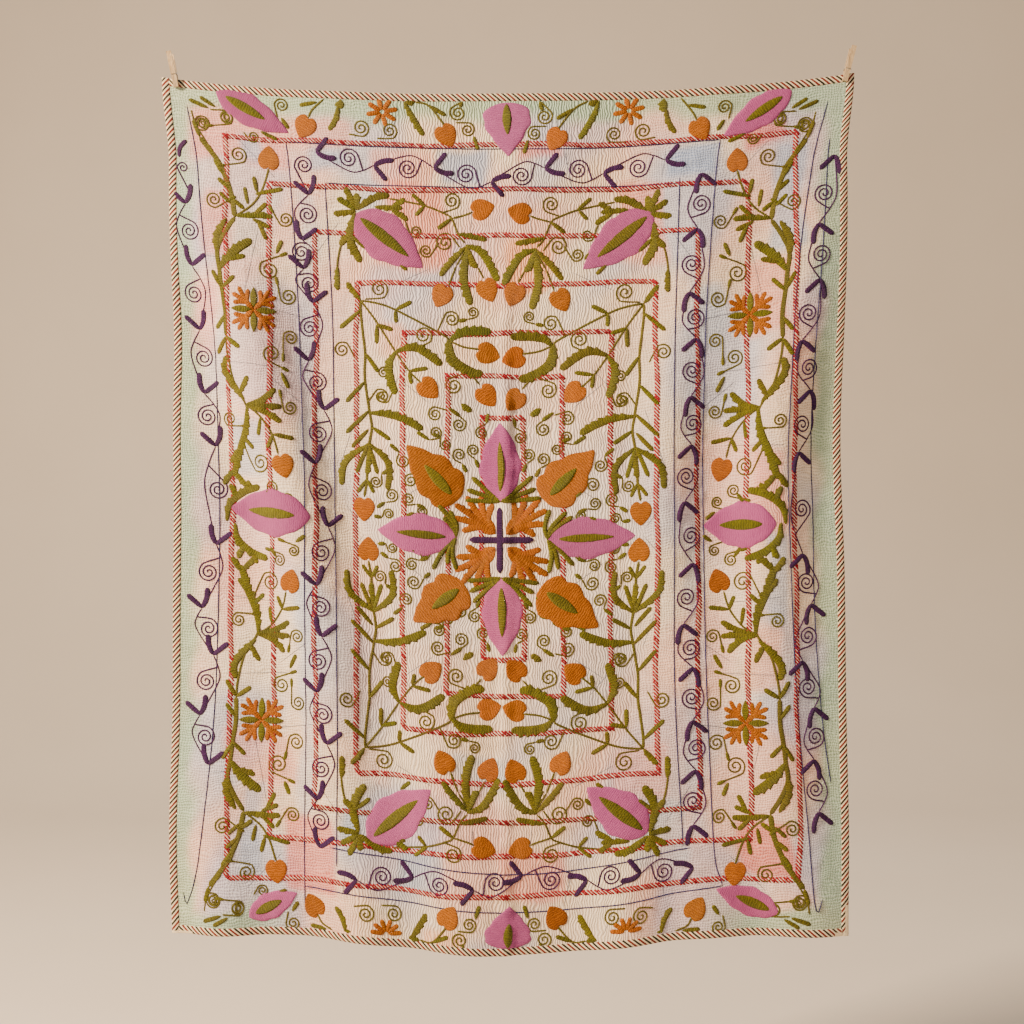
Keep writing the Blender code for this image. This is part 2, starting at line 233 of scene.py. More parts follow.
ground = {
    "columns": 176, "rows": 220,
    "base": "#EBDCC8",
    "mint": "#A3BFA6", "mintReach": 54,
    "patches": (  # a from, to, b from, to, colour, strength
        (-640, -450, 760, 880, "#E09A97", 0.75), (-450, -310, 800, 860, "#E3A595", 0.6),
        (-270, -140, 735, 800, "#E5A49A", 0.6), (-650, -600, 350, 500, "#DE9DA4", 0.6),
        (-575, -435, -530, -430, "#E39F96", 0.55), (235, 345, -560, -445, "#E3A298", 0.5),
        (515, 610, 395, 540, "#E69E90", 0.7), (530, 605, -5, 150, "#E39A92", 0.6),
        (-240, -110, 570, 725, "#E39283", 0.75), (250, 340, 570, 725, "#E39283", 0.7),
        (-270, -120, 555, 600, "#E8A68F", 0.6), (40, 130, 785, 815, "#D67C7C", 0.7),
        (520, 600, 790, 840, "#D27678", 0.8), (-450, -345, -760, -600, "#DC8280", 0.75),
        (0, 130, -740, -640, "#E09088", 0.6), (500, 610, -720, -610, "#D87C78", 0.8),
        (-620, -560, 560, 700, "#E29A92", 0.65), (-600, -560, -250, -60, "#E3B3B2", 0.5),
        (-545, -500, 765, 825, "#A3B7D4", 0.7), (-395, -320, 755, 795, "#A6B6D4", 0.7),
        (-130, -30, 720, 800, "#9FB3D6", 0.75), (-305, -250, 665, 715, "#AEBFD8", 0.6),
        (345, 450, 735, 800, "#98AFD6", 0.8), (570, 640, 575, 800, "#A4BADA", 0.65),
        (-575, -490, 100, 220, "#A9B8D4", 0.6), (565, 600, -230, -30, "#A5B8D6", 0.6),
        (-550, -500, -730, -540, "#A6B7D5", 0.6), (-335, -290, -645, -560, "#A5BAD0", 0.6),
        (-210, -125, -725, -645, "#ACBED4", 0.6), (-95, 10, -510, -450, "#C0CCDC", 0.5),
        (285, 395, -690, -560, "#BDCADB", 0.5), (410, 465, 365, 515, "#C0CBDC", 0.6),
        (130, 210, -60, 130, "#D5DBE4", 0.4), (-420, -390, 100, 700, "#C5CCDD", 0.5),
        (-420, -390, -600, -50, "#C3CBDE", 0.5), (385, 425, -640, 640, "#C8CEDF", 0.5),
        (10, 95, 510, 620, "#F0AE80", 0.75), (520, 595, -335, -210, "#EEAE8C", 0.55),
        (-160, -70, -850, -810, "#EFB48A", 0.6), (-250, -205, 375, 435, "#EEAE8C", 0.6),
        (-330, -250, 300, 500, "#F0D5C3", 0.5), (-110, 130, 340, 420, "#F1CFB6", 0.5),
        (95, 210, 200, 330, "#F0D8C8", 0.4), (-210, -110, -330, -80, "#F2DFD3", 0.4),
        (-560, -470, 560, 690, "#DDD9CE", 0.5), (-240, 240, -230, 230, "#F1E6DC", 0.5),
        (230, 340, 560, 600, "#EBC0AE", 0.5), (-330, -240, -520, -440, "#EEC9BA", 0.5),
    ),
    "washes": (  # colour, strength, cloud width and height (mm per radian), shift
        ("#E9B3AC", 0.62, 88, 104, 0.4), ("#B4BBDA", 0.70, 76, 92, 2.3), ("#EDBF9D", 0.26, 61, 120, 4.0)),
    "rowPitch": 0.0056,    # metres between rows of running stitch
}


def buildPanel():
    # two layers of one grid, thickness apart, joined round the rim; uv is the flat cloth in metres
    across, down = ground["columns"] + 1, ground["rows"] + 1
    u, v = np.meshgrid(np.linspace(-0.709, 0.709, across), np.linspace(0.001, 1.769, down))
    layers = [hangPoint(u, v, np.full_like(u, side * drape["thickness"] / 2)) for side in (1, -1)]
    points = np.concatenate([layer.reshape(-1, 3) for layer in layers])
    index = np.arange(across * down).reshape(down, across)
    front = np.stack((index[1:, :-1], index[1:, 1:], index[:-1, 1:], index[:-1, :-1]), axis=-1).reshape(-1, 4)
    back = front[:, ::-1] + across * down
    rim = np.concatenate((index[0, :], index[1:, -1], index[-1, -2::-1], index[-2:0:-1, 0]))
    after = np.roll(rim, -1)
    edge = np.stack((rim, after, after + across * down, rim + across * down), axis=-1)
    a, b = (u - patternU) * 1000, (patternV - v) * 1000
    colour = np.tile(np.array(linear(ground["base"])[:3]), (down, across, 1))
    # broad weak washes first, stronger away from the middle: cosine clouds of blush and of lavender
    outer = 0.35 + 0.65 * smoothStep((np.maximum(np.abs(a), 0.78 * np.abs(b)) - 180) / 260)
    for tone, strength, wideA, wideB, shift in ground["washes"]:
        cloud = 0.5 + 0.5 * np.cos(a / wideA + shift + 1.4 * np.sin(b / 170)) * np.cos(b / wideB + 1.1 * np.sin(a / 140 + shift))
        mask = (strength * outer * smoothStep((cloud - 0.38) / 0.34))[..., None]
        colour = colour * (1 - mask) + np.array(linear(tone)[:3]) * mask
    wobble = 9 * np.sin(a / 37 + 1.3 * np.sin(b / 53)) + 7 * np.sin(b / 29 + 1.7 * np.sin(a / 41))
    for a0, a1, b0, b1, tone, strength in ground["patches"]:
        fade = [smoothStep((d + wobble * 0.8) / 20 + 0.5) for d in (a - a0, a1 - a, b - b0, b1 - b)]
        mask = (strength * fade[0] * fade[1] * fade[2] * fade[3])[..., None]
        colour = colour * (1 - mask) + np.array(linear(tone)[:3]) * mask
    rimReach = np.minimum(np.minimum(a + 695, 725 - a), np.minimum(918 - b, b + 852))
    mask = 0.85 * (1 - smoothStep((rimReach + wobble - ground["mintReach"]) / 34 + 0.5))[..., None]
    mask = mask * (1 - smoothStep((-760 - b) / 40) * (1 - smoothStep((np.abs(a) - 400) / 140)))[..., None]    # none mid hem
    colour = colour * (1 - mask) + np.array(linear(ground["mint"])[:3]) * mask
    lining = 0.45 * colour + 0.55 * np.array(linear(ground["base"])[:3])    # the back is paler
    colour = np.concatenate((colour.reshape(-1, 3), lining.reshape(-1, 3)))
    uvs = np.tile(np.stack((u, v), axis=-1).reshape(-1, 2), (2, 1))
    return meshObject("quiltedGround", points, np.concatenate((front, back, edge)), quiltedCotton(), uvs, colour)


def quiltedCotton():
    # hand-quilted plain-weave cotton: matt, crinkled between rows of running stitch 6 mm apart
    material, tree, shader = newMaterial("quiltedCotton", 0.92, Sheen_Weight=0.08, Sheen_Roughness=0.5)
    uv = addNode(tree, "ShaderNodeUVMap", uv_map="thread").outputs["UV"]
    tint = addNode(tree, "ShaderNodeVertexColor", layer_name="tint").outputs["Color"]
    place = addNode(tree, "ShaderNodeSeparateXYZ", links={"Vector": uv}).outputs
    pull = addNode(tree, "ShaderNodeTexNoise", {"Scale": 26.0, "Detail": 2.0, "Roughness": 0.55}, {"Vector": uv})
    warped = addNode(tree, "ShaderNodeVectorMath", {1: (0.024, 0.024, 0.0)}, {0: pull.outputs["Color"], 2: uv},
                     operation="MULTIPLY_ADD").outputs[0]    # the rows wander by up to 6 mm
    drift = addNode(tree, "ShaderNodeTexNoise", {"Scale": 34.0, "Detail": 2.0}, {"Vector": uv})
    waves = []
    for axis, name in (("X", "upright"), ("Y", "level")):    # rows of stitching one way and the other
        waves.append(addNode(
            tree, "ShaderNodeTexWave",
            {"Scale": 0.314 / ground["rowPitch"], "Distortion": 2.5, "Detail": 2.0, "Detail Scale": 1.0},
            {"Vector": warped}, wave_type="BANDS", bands_direction=axis, label=name).outputs["Fac"])
    zone = addNode(tree, "ShaderNodeTexNoise", {"Scale": 4.0, "Detail": 1.0}, {"Vector": uv})
    middle = addNode(tree, "ShaderNodeMath", {1: -0.0154}, {0: place["X"]}, operation="SUBTRACT")
    reach = addNode(tree, "ShaderNodeMath", links={0: middle.outputs[0]}, operation="ABSOLUTE")
    centre = addNode(tree, "ShaderNodeMapRange", {"From Min": 0.20, "From Max": 0.34, "To Min": -0.35, "To Max": 0.25},
                     {"Value": reach.outputs[0]})
    turned = addNode(tree, "ShaderNodeMath", links={0: zone.outputs["Fac"], 1: centre.outputs[0]}, operation="ADD")
    turned = addNode(tree, "ShaderNodeMapRange", {"From Min": 0.44, "From Max": 0.56}, {"Value": turned.outputs[0]})
    crossed = addNode(tree, "ShaderNodeMix", {"Factor": 0.36}, {"A": waves[1], "B": waves[0]}).outputs[0]
    rows = addNode(tree, "ShaderNodeMix", links={"Factor": turned.outputs[0], "A": waves[0], "B": crossed}).outputs[0]
    thread = addNode(tree, "ShaderNodeTexNoise", {"Scale": 420.0, "Detail": 2.0}, {"Vector": uv})
    crumple = addNode(tree, "ShaderNodeTexNoise", {"Scale": 95.0, "Detail": 3.0, "Roughness": 0.6}, {"Vector": uv})
    # painted shade: the colour is darkened by up to 12% in the valleys between rows of stitching and lifted a little on
    # the ridges; blotch adds random tone
    shade = addNode(tree, "ShaderNodeMapRange", {"From Min": 0.0, "From Max": 0.5, "To Min": 0.88, "To Max": 1.04},
                    {"Value": rows})
    blotch = addNode(tree, "ShaderNodeMapRange", {"From Min": 0.3, "From Max": 0.7, "To Min": 0.90, "To Max": 1.06},
                     {"Value": drift.outputs["Fac"]})
    tone = addNode(tree, "ShaderNodeMath", links={0: shade.outputs[0], 1: blotch.outputs[0]}, operation="MULTIPLY")
    valleyShade = addNode(tree, "ShaderNodeMapRange", {"From Min": 0.0, "From Max": 0.5, "To Min": 1.65, "To Max": 0.97},
                   {"Value": rows})    # painted shade: each patch's colour is deepened and darkened in the valleys between the ridges of stitching
    valleyShadedTint = addNode(tree, "ShaderNodeGamma", links={"Color": tint, "Gamma": valleyShade.outputs[0]}).outputs[0]
    colour = addNode(tree, "ShaderNodeVectorMath", links={0: valleyShadedTint, "Scale": tone.outputs[0]}, operation="SCALE")
    tree.links.new(colour.outputs[0], shader.inputs["Base Color"])
    total = rows
    for source, weight in ((crumple.outputs["Fac"], 0.9), (thread.outputs["Fac"], 0.25)):
        total = addNode(tree, "ShaderNodeMath", {1: weight}, {0: source, 2: total}, operation="MULTIPLY_ADD").outputs[0]
    bump = addNode(tree, "ShaderNodeBump", {"Strength": 0.85, "Distance": 0.0013}, {"Height": total})
    tree.links.new(bump.outputs[0], shader.inputs["Normal"])
    return material


panel = buildPanel()
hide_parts("panel")
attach(panel, "root")
print("ground quilted")


# the braid round the edge

braid = {
    "reach": 0.0155, "over": 0.0013, "half": 0.0026, "swell": 0.0006, "relief": 0.00045,
    "strand": 0.0052, "around": 18, "step": 0.0016,
    "cream": "#E4D3B2", "dark": "#161A10", "redBrown": "#6A1C12",
}


def twistedBraid():
    # cotton braid of cream, green-black and red-brown strands laid slantwise, each with a soft nap
    material, tree, shader = newMaterial("twistedBraid", 0.85, Sheen_Weight=0.05)
    uv = addNode(tree, "ShaderNodeUVMap", uv_map="thread").outputs["UV"]
    turn = addNode(tree, "ShaderNodeSeparateXYZ", links={"Vector": uv}).outputs["X"]
    turn = addNode(tree, "ShaderNodeMath", links={0: turn}, operation="FRACT").outputs[0]
    ramp = addNode(tree, "ShaderNodeValToRGB", links={"Fac": turn})
    ramp.color_ramp.interpolation = "CONSTANT"
    for place, colour in ((0.0, "cream"), (0.20, "dark"), (0.50, "cream"), (0.70, "redBrown")):
        stop = ramp.color_ramp.elements[0] if place == 0.0 else ramp.color_ramp.elements.new(place)
        stop.color = linear(braid[colour])
    ramp.color_ramp.elements[-1].color = linear(braid["cream"])
    ramp.color_ramp.elements[-1].position = 1.0
    fleck = addNode(tree, "ShaderNodeTexNoise", {"Scale": 700.0, "Detail": 2.0})
    place = addNode(tree, "ShaderNodeTexCoord").outputs["Object"]
    tree.links.new(place, fleck.inputs["Vector"])
    plain = addNode(tree, "ShaderNodeVertexColor", layer_name="tint")
    bare = addNode(tree, "ShaderNodeMix", {"B": linear(braid["cream"])},
                   {"Factor": plain.outputs["Color"], "A": ramp.outputs["Color"]}, data_type="RGBA")
    tree.links.new(bare.outputs[2], shader.inputs["Base Color"])
    bump = addNode(tree, "ShaderNodeBump", {"Strength": 0.5, "Distance": 0.0006}, {"Height": fleck.outputs["Fac"]})
    tree.links.new(bump.outputs[0], shader.inputs["Normal"])
    return material


def buildBraid(name, node, start, end, edge, inwards, upright, slant, material):
    # a flat closed tube: depth from the edge = middle - half width cos t, height = half sin^0.6 t,
    # swelled by |cos| of the strands' slanting phase
    along = np.arange(start, end, braid["step"])
    along = np.append(along, end)
    t = np.linspace(0, 2 * np.pi, braid["around"], endpoint=False)
    along, t = np.meshgrid(along, t, indexing="ij")
    wide = (braid["reach"] + braid["over"]) / 2
    depth = wide - braid["over"] - wide * np.cos(t)
    sine = np.sin(t)
    arc = (depth + braid["over"]) * np.sign(sine)
    phase = (along + 1.15 * slant * arc) / (4 * braid["strand"])
    cross = edge + inwards * depth
    u, v = (cross, along) if upright else (along, cross)
    free = np.ones_like(u)
    for gripU, gripV in drape["grips"]:
        free = free * smoothStep((np.hypot(u - gripU, v - gripV) - 0.012) / 0.02)
    strands = np.abs(np.sin(np.pi * 4 * phase)) ** 0.7
    half = braid["half"] + free * (braid["swell"] + braid["relief"] * strands)
    height = half * np.sign(sine) * np.abs(sine) ** 0.6
    points = hangPoint(u, v, height).reshape(-1, 3)
    rings, around = u.shape
    index = np.arange(rings * around).reshape(rings, around)
    after = np.roll(index, -1, axis=1)
    faces = np.stack((index[:-1], after[:-1], after[1:], index[1:]), axis=-1).reshape(-1, 4)
    half = around // 2
    caps = []
    for ring, flip in ((0, True), (rings - 1, False)):    # each end closed by quads from side to side
        for k in range(half):
            quad = [index[ring, k], index[ring, k + 1], index[ring, around - k - 1], index[ring, (around - k) % around]]
            if len(set(quad)) == 4:
                caps.append(quad[::-1] if flip else quad)
    faces = np.concatenate((faces, np.array(caps)))
    if (inwards < 0) == upright:
        faces = faces[:, ::-1]
    uvs = np.stack((phase, along), axis=-1).reshape(-1, 2)
    a, b = (u - patternU) * 1000, (patternV - v) * 1000
    bare = ((a > 695) & (b < -845)) | ((a < -650) & (b < -848)) | ((a > 718) & (b < -790))
    tint = np.repeat(bare.reshape(-1, 1).astype(float), 3, axis=1)
    made = meshObject(name, points, faces, material, uvs, tint)
    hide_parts(node)
    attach(made, "root")
    return made


braidCotton = twistedBraid()
side, bottom = drape["width"] / 2, drape["height"]
bindings = [
    buildBraid("braidLeft", "binding_left", -0.001, bottom + 0.001, -side, 1, True, 1, braidCotton),
    buildBraid("braidRight", "binding_right", -0.001, bottom + 0.001, side, -1, True, -1, braidCotton),
    buildBraid("braidTop", "binding_top", -side + 0.014, side - 0.014, 0.0, 1, False, -1, braidCotton),
    buildBraid("braidBottom", "binding_bottom", -side + 0.014, side - 0.014, bottom, -1, False, 1, braidCotton),
]
print("edges bound")


# embroidery: threads

def embroideryYarn(name, dark, light, rowPitch=0.0019, stitch=0.0052, sheen=0.03, roughness=0.6, depth=0.0015):
    # twisted silk and cotton floss in chain stitch: rows of small loops with a low satin gleam;
    # rows are drawn wider than the 1 mm floss so that they show
    material, tree, shader = newMaterial(name, roughness, Sheen_Weight=sheen, Sheen_Roughness=0.4, Specular_IOR_Level=0.22)
    uv = addNode(tree, "ShaderNodeUVMap", uv_map="thread").outputs["UV"]
    tint = addNode(tree, "ShaderNodeVertexColor", layer_name="tint").outputs["Color"]
    rows = addNode(tree, "ShaderNodeTexWave",
                   {"Scale": 0.314 / rowPitch, "Distortion": 1.6, "Detail": 1.0, "Detail Scale": 1.2},
                   {"Vector": uv}, wave_type="BANDS", bands_direction="Y", wave_profile="SIN").outputs["Fac"]
    loops = addNode(tree, "ShaderNodeTexWave",
                    {"Scale": 0.314 / stitch, "Distortion": 6.0, "Detail": 2.0, "Detail Scale": 1.5},
                    {"Vector": uv}, wave_type="BANDS", bands_direction="X").outputs["Fac"]
    speck = addNode(tree, "ShaderNodeTexNoise", {"Scale": 330.0, "Detail": 3.0, "Roughness": 0.65}, {"Vector": uv})
    broad = addNode(tree, "ShaderNodeTexNoise", {"Scale": 60.0, "Detail": 2.0}, {"Vector": uv})
    total = addNode(tree, "ShaderNodeMath", {1: 0.6}, {0: loops, 2: rows}, operation="MULTIPLY_ADD").outputs[0]
    total = addNode(tree, "ShaderNodeMath", {1: 1.2}, {0: speck.outputs["Fac"], 2: total}, operation="MULTIPLY_ADD").outputs[0]
    # painted shade: the floss goes towards its dark colour where the loops, rows and specks of the bump are low, in the
    # hollows between stitches; the broad noise adds random tone
    fac = addNode(tree, "ShaderNodeMapRange", {"From Min": 0.95, "From Max": 1.85}, {"Value": total})
    fac = addNode(tree, "ShaderNodeMath", {1: 0.7}, {0: fac.outputs[0]}, operation="MULTIPLY")
    fac = addNode(tree, "ShaderNodeMath", {1: 0.3}, {0: broad.outputs["Fac"], 2: fac.outputs[0]}, operation="MULTIPLY_ADD")
    mixed = addNode(tree, "ShaderNodeMix", {"A": linear(dark), "B": linear(light)}, {"Factor": fac.outputs[0]},
                    data_type="RGBA")
    colour = addNode(tree, "ShaderNodeMix", {"Factor": 1.0}, {"A": mixed.outputs[2], "B": tint},
                     data_type="RGBA", blend_type="MULTIPLY")
    tree.links.new(colour.outputs[2], shader.inputs["Base Color"])
    bump = addNode(tree, "ShaderNodeBump", {"Strength": 0.8, "Distance": depth}, {"Height": total})
    tree.links.new(bump.outputs[0], shader.inputs["Normal"])
    return material


yarns = {
    "olive": embroideryYarn("oliveFloss", "#2E2C08", "#7E7A14"),
    "oliveFine": embroideryYarn("oliveFineFloss", "#3E3A0A", "#787222", rowPitch=0.0016),
    "orange": embroideryYarn("orangeFloss", "#642E00", "#C87400"),
    "pink": embroideryYarn("pinkFloss", "#8A3A74", "#C2629C", stitch=0.0040, depth=0.0009),
    "purple": embroideryYarn("purpleFloss", "#1E0A2C", "#4E2161"),
    "navy": embroideryYarn("navyFloss", "#171640", "#3B3970"),
    "red": embroideryYarn("redFloss", "#80061C", "#B80E2A", stitch=0.0025),
    "seam": embroideryYarn("seamThread", "#5C6478", "#8A91A3"),
    "white": embroideryYarn("whiteFloss", "#DACCB9", "#F3E9DA", stitch=0.0030, depth=0.0004),
}
threads = {}    # piece name: yarn, list of (points, faces, uvs, tint)
yarnOf = {}
shades = np.random.default_rng(11)


def addThread(piece, yarn, points, faces, uvs):
    tone = 1.0 + 0.08 * shades.standard_normal()
    tint = np.clip(tone + 0.03 * shades.standard_normal(3), 0.72, 1.25)
    threads.setdefault(piece, []).append((points, faces, uvs, np.tile(tint, (len(points), 1))))
    yarnOf[piece] = yarn


def smoothPath(points, step):
    # cubic through the points (Catmull-Rom), then even stations step mm apart
    p = np.array(points, dtype=float)
    if len(p) > 2:
        p = np.vstack((2 * p[0] - p[1], p, 2 * p[-1] - p[-2]))
        t = np.linspace(0, 1, 8, endpoint=False)[None, :, None]
        p0, p1, p2, p3 = (p[i:len(p) - 3 + i, None, :] for i in range(4))
        curve = 0.5 * (2 * p1 + (p2 - p0) * t + (2 * p0 - 5 * p1 + 4 * p2 - p3) * t ** 2
                       + (3 * p1 - p0 - 3 * p2 + p3) * t ** 3)
        p = np.vstack((curve.reshape(-1, 2), p[-2]))
    reach = np.concatenate(([0], np.cumsum(np.linalg.norm(np.diff(p, axis=0), axis=1))))
    count = max(4, int(reach[-1] / step) + 2)
    even = np.linspace(0, reach[-1], count)
    return np.stack((np.interp(even, reach, p[:, 0]), np.interp(even, reach, p[:, 1])), axis=1), even


ringAcross = np.array([-1.0, -0.6, 0.0, 0.6, 1.0])
ringHeight = np.array([0.0, 0.78, 1.0, 0.78, 0.0])


def stroke(piece, yarn, points, width, height=1.3, step=5.0, shape="stem", sunk=0.5):
    # a low ridge along the path: across = ring * half width * profile, height = ring * height;
    # stem: even width; leaf: slender foot, full shoulders, round tip; blade: pointed at both ends
    path, reach = smoothPath(points, step)
    if shape != "stem":
        path, reach = smoothPath(points, 2.6 if width > 6.2 else max(2.5, reach[-1] / 11))
    length = max(reach[-1], 1e-6)
    t = reach / length
    if shape == "leaf":
        profile = 0.58 + 0.42 * smoothStep(t / 0.4)
    elif shape == "bar":
        profile = 0.78 + 0.22 * smoothStep(t / 0.4)
    elif shape == "blade":
        profile = np.sin(np.pi * np.clip(t, 0.03, 0.97) ** 0.8) ** 0.75
    elif shape == "taper":
        profile = 1.0 - 0.6 * t
    else:
        profile = np.ones_like(t)
    near = np.minimum(reach, length - reach) / max(width, 1.0)
    ends = np.sqrt(np.clip(1 - (1 - np.clip(near, 0, 1)) ** 2, 0.10, 1))
    half = (width * profile * ends)[:, None] * np.ones(5)
    if shape == "leaf" and width > 6.2:    # broad leaves have saw teeth on their outer side
        chord, sag = path[-1] - path[0], path[len(path) // 2] - path[0]
        outer = 3 if chord[0] * sag[1] - chord[1] * sag[0] > 0 else 0
        teeth = 1.0 + 0.62 * np.mod(length / 15 * t, 1.0) * (t > 0.12) * (t < 0.86)
        half[:, outer:outer + 2] *= teeth[:, None]
    tangent = np.gradient(path, axis=0)
    tangent = tangent / np.maximum(np.linalg.norm(tangent, axis=1, keepdims=True), 1e-9)
    across = np.stack((-tangent[:, 1], tangent[:, 0]), axis=1)
    flat = path[:, None, :] + across[:, None, :] * (half * ringAcross)[..., None]
    rise = ringHeight * (height + sunk) * (0.5 + 0.5 * ends)[:, None] - sunk
    place = onCloth(flat[..., 0], flat[..., 1], rise).reshape(-1, 3)
    stations = len(path)
    index = np.arange(stations * 5).reshape(stations, 5)
    after = np.roll(index, -1, axis=1)
    faces = np.stack((index[:-1], index[1:], after[1:], after[:-1]), axis=-1).reshape(-1, 4)
    # the quads are turned outward, and each end is closed by a quad and a triangle
    first, last = index[0], index[-1]
    faces = np.concatenate((faces[:, ::-1], [[first[3], first[2], first[1], first[0]], [first[4], first[3], first[0], first[0]],
                                             [last[0], last[1], last[2], last[3]], [last[0], last[3], last[4], last[4]]]))
    uvs = np.stack((np.repeat(reach[:, None], 5, axis=1), half * ringAcross), axis=-1).reshape(-1, 2)
    addThread(piece, yarn, place, faces, uvs * 0.001)


def curl(centre, radius, joint, turn=1, turns=2.1):
    # a watch-spring curl: radius grows evenly with the turn and leaves on the tangent to its joint
    centre, joint = np.array(centre, float), np.array(joint, float)
    gap = joint - centre
    distance = np.hypot(*gap)
    heading = math.atan2(gap[1], gap[0])
    leave = heading - turn * math.acos(min(0.98, radius / max(distance, 1e-6)))
    t = np.linspace(0, 1, int(26 * turns))
    angle = leave - turn * 2 * np.pi * turns * (1 - t)
    grown = radius * (0.10 + 0.90 * t)
    path = centre + np.stack((np.cos(angle), np.sin(angle)), axis=1) * grown[:, None]
    return np.vstack((path[::2], joint)) if distance > radius * 1.15 else path[::2]


def fill(piece, yarn, base, tip, halfWidth, profile, height=1.6, notch=0.0, along=18, across=9, lean=0.0, sunk=0.5):
    # a padded shape: x along its axis, y across it; place = base + axis x + side halfWidth profile(x) y,
    # height = height (1 - y^4) (1 - (2x - 1)^8), with a flat back sunk in the cloth
    base, tip = np.array(base, float), np.array(tip, float)
    axis = tip - base
    length = np.hypot(*axis)
    side = np.array((-axis[1], axis[0])) / length
    t = 0.5 - 0.5 * np.cos(np.pi * np.linspace(0, 1, along))
    y = np.sin(0.5 * np.pi * np.linspace(-1, 1, across))
    t, y = np.meshgrid(t, y, indexing="ij")
    wide = halfWidth * np.maximum(profile(t, y), 0.03)
    x = t - notch * np.sin(np.pi * np.abs(y)) * (1 - t) ** 3
    flat = base + axis * x[..., None] + side * (wide * y + lean * length * np.sin(np.pi * t))[..., None]
    crown = (1 - np.abs(y) ** 4) * (1 - np.abs(2 * t - 1) ** 8)
    top = crown ** 0.42 * (height + sunk) - sunk
    border = (np.abs(y) > 0.9999) | (t < 1e-6) | (t > 1 - 1e-6)
    count = t.size
    index = np.arange(count).reshape(t.shape)
    under = np.where(border, index, index + count)
    placed = np.concatenate([
        onCloth(flat[..., 0], flat[..., 1], top).reshape(-1, 3),
        onCloth(flat[..., 0], flat[..., 1], np.full_like(top, -sunk - 0.25)).reshape(-1, 3)])
    used = np.concatenate((np.ones(count, bool), ~border.ravel()))
    renumber = np.cumsum(used) - 1
    upper = np.stack((index[:-1, :-1], index[1:, :-1], index[1:, 1:], index[:-1, 1:]), axis=-1).reshape(-1, 4)
    lower = np.stack((under[:-1, :-1], under[:-1, 1:], under[1:, 1:], under[1:, :-1]), axis=-1).reshape(-1, 4)
    faces = renumber[np.concatenate((upper, lower))]
    uvs = np.stack((x * length, wide * y), axis=-1).reshape(-1, 2)
    uvs = np.concatenate((uvs, uvs))[used] * 0.001
    addThread(piece, yarn, placed[used], faces, uvs)


def almond(t, y):
    return np.sin(np.pi * t ** 0.9) ** 0.8


def heartShape(t, y):
    # full shoulders that round in to a blunt point
    return np.sin(np.pi * np.clip(0.13 + 0.87 * t, 0, 1) ** 0.74) ** 0.72


def heart(centre, joint, size=24.0):
    # a padded bud: notched at its stem, pointed away from it
    centre = np.array(centre, float)
    away = centre - np.array(joint, float)
    away = away / max(np.hypot(*away), 1e-6)
    fill("orangeHearts", "orange", centre - away * size * 0.80, centre + away * size * 1.12, size * 0.98, heartShape,
         height=2.2, notch=0.11, along=14, across=11)


# where the four quarters lie: the top right one is charted, the others follow it

quarters = {  # a scale, b scale, a shift, b shift
    "topRight": (1.0, 1.0, 0, 0), "topLeft": (-0.98, 1.0, 0, 9),
    "lowRight": (0.98, -0.943, 2, -4), "lowLeft": (-0.955, -0.943, 2, -2),
}


def turnedTo(quarter, points):
    scaleA, scaleB, shiftA, shiftB = quarters[quarter]
    moved = [(a * scaleA + shiftA, b * scaleB + shiftB) for a, b in points]
    return [(min(max(a, -680), 708), min(max(b, -834), 902)) for a, b in moved]    # never past the braid


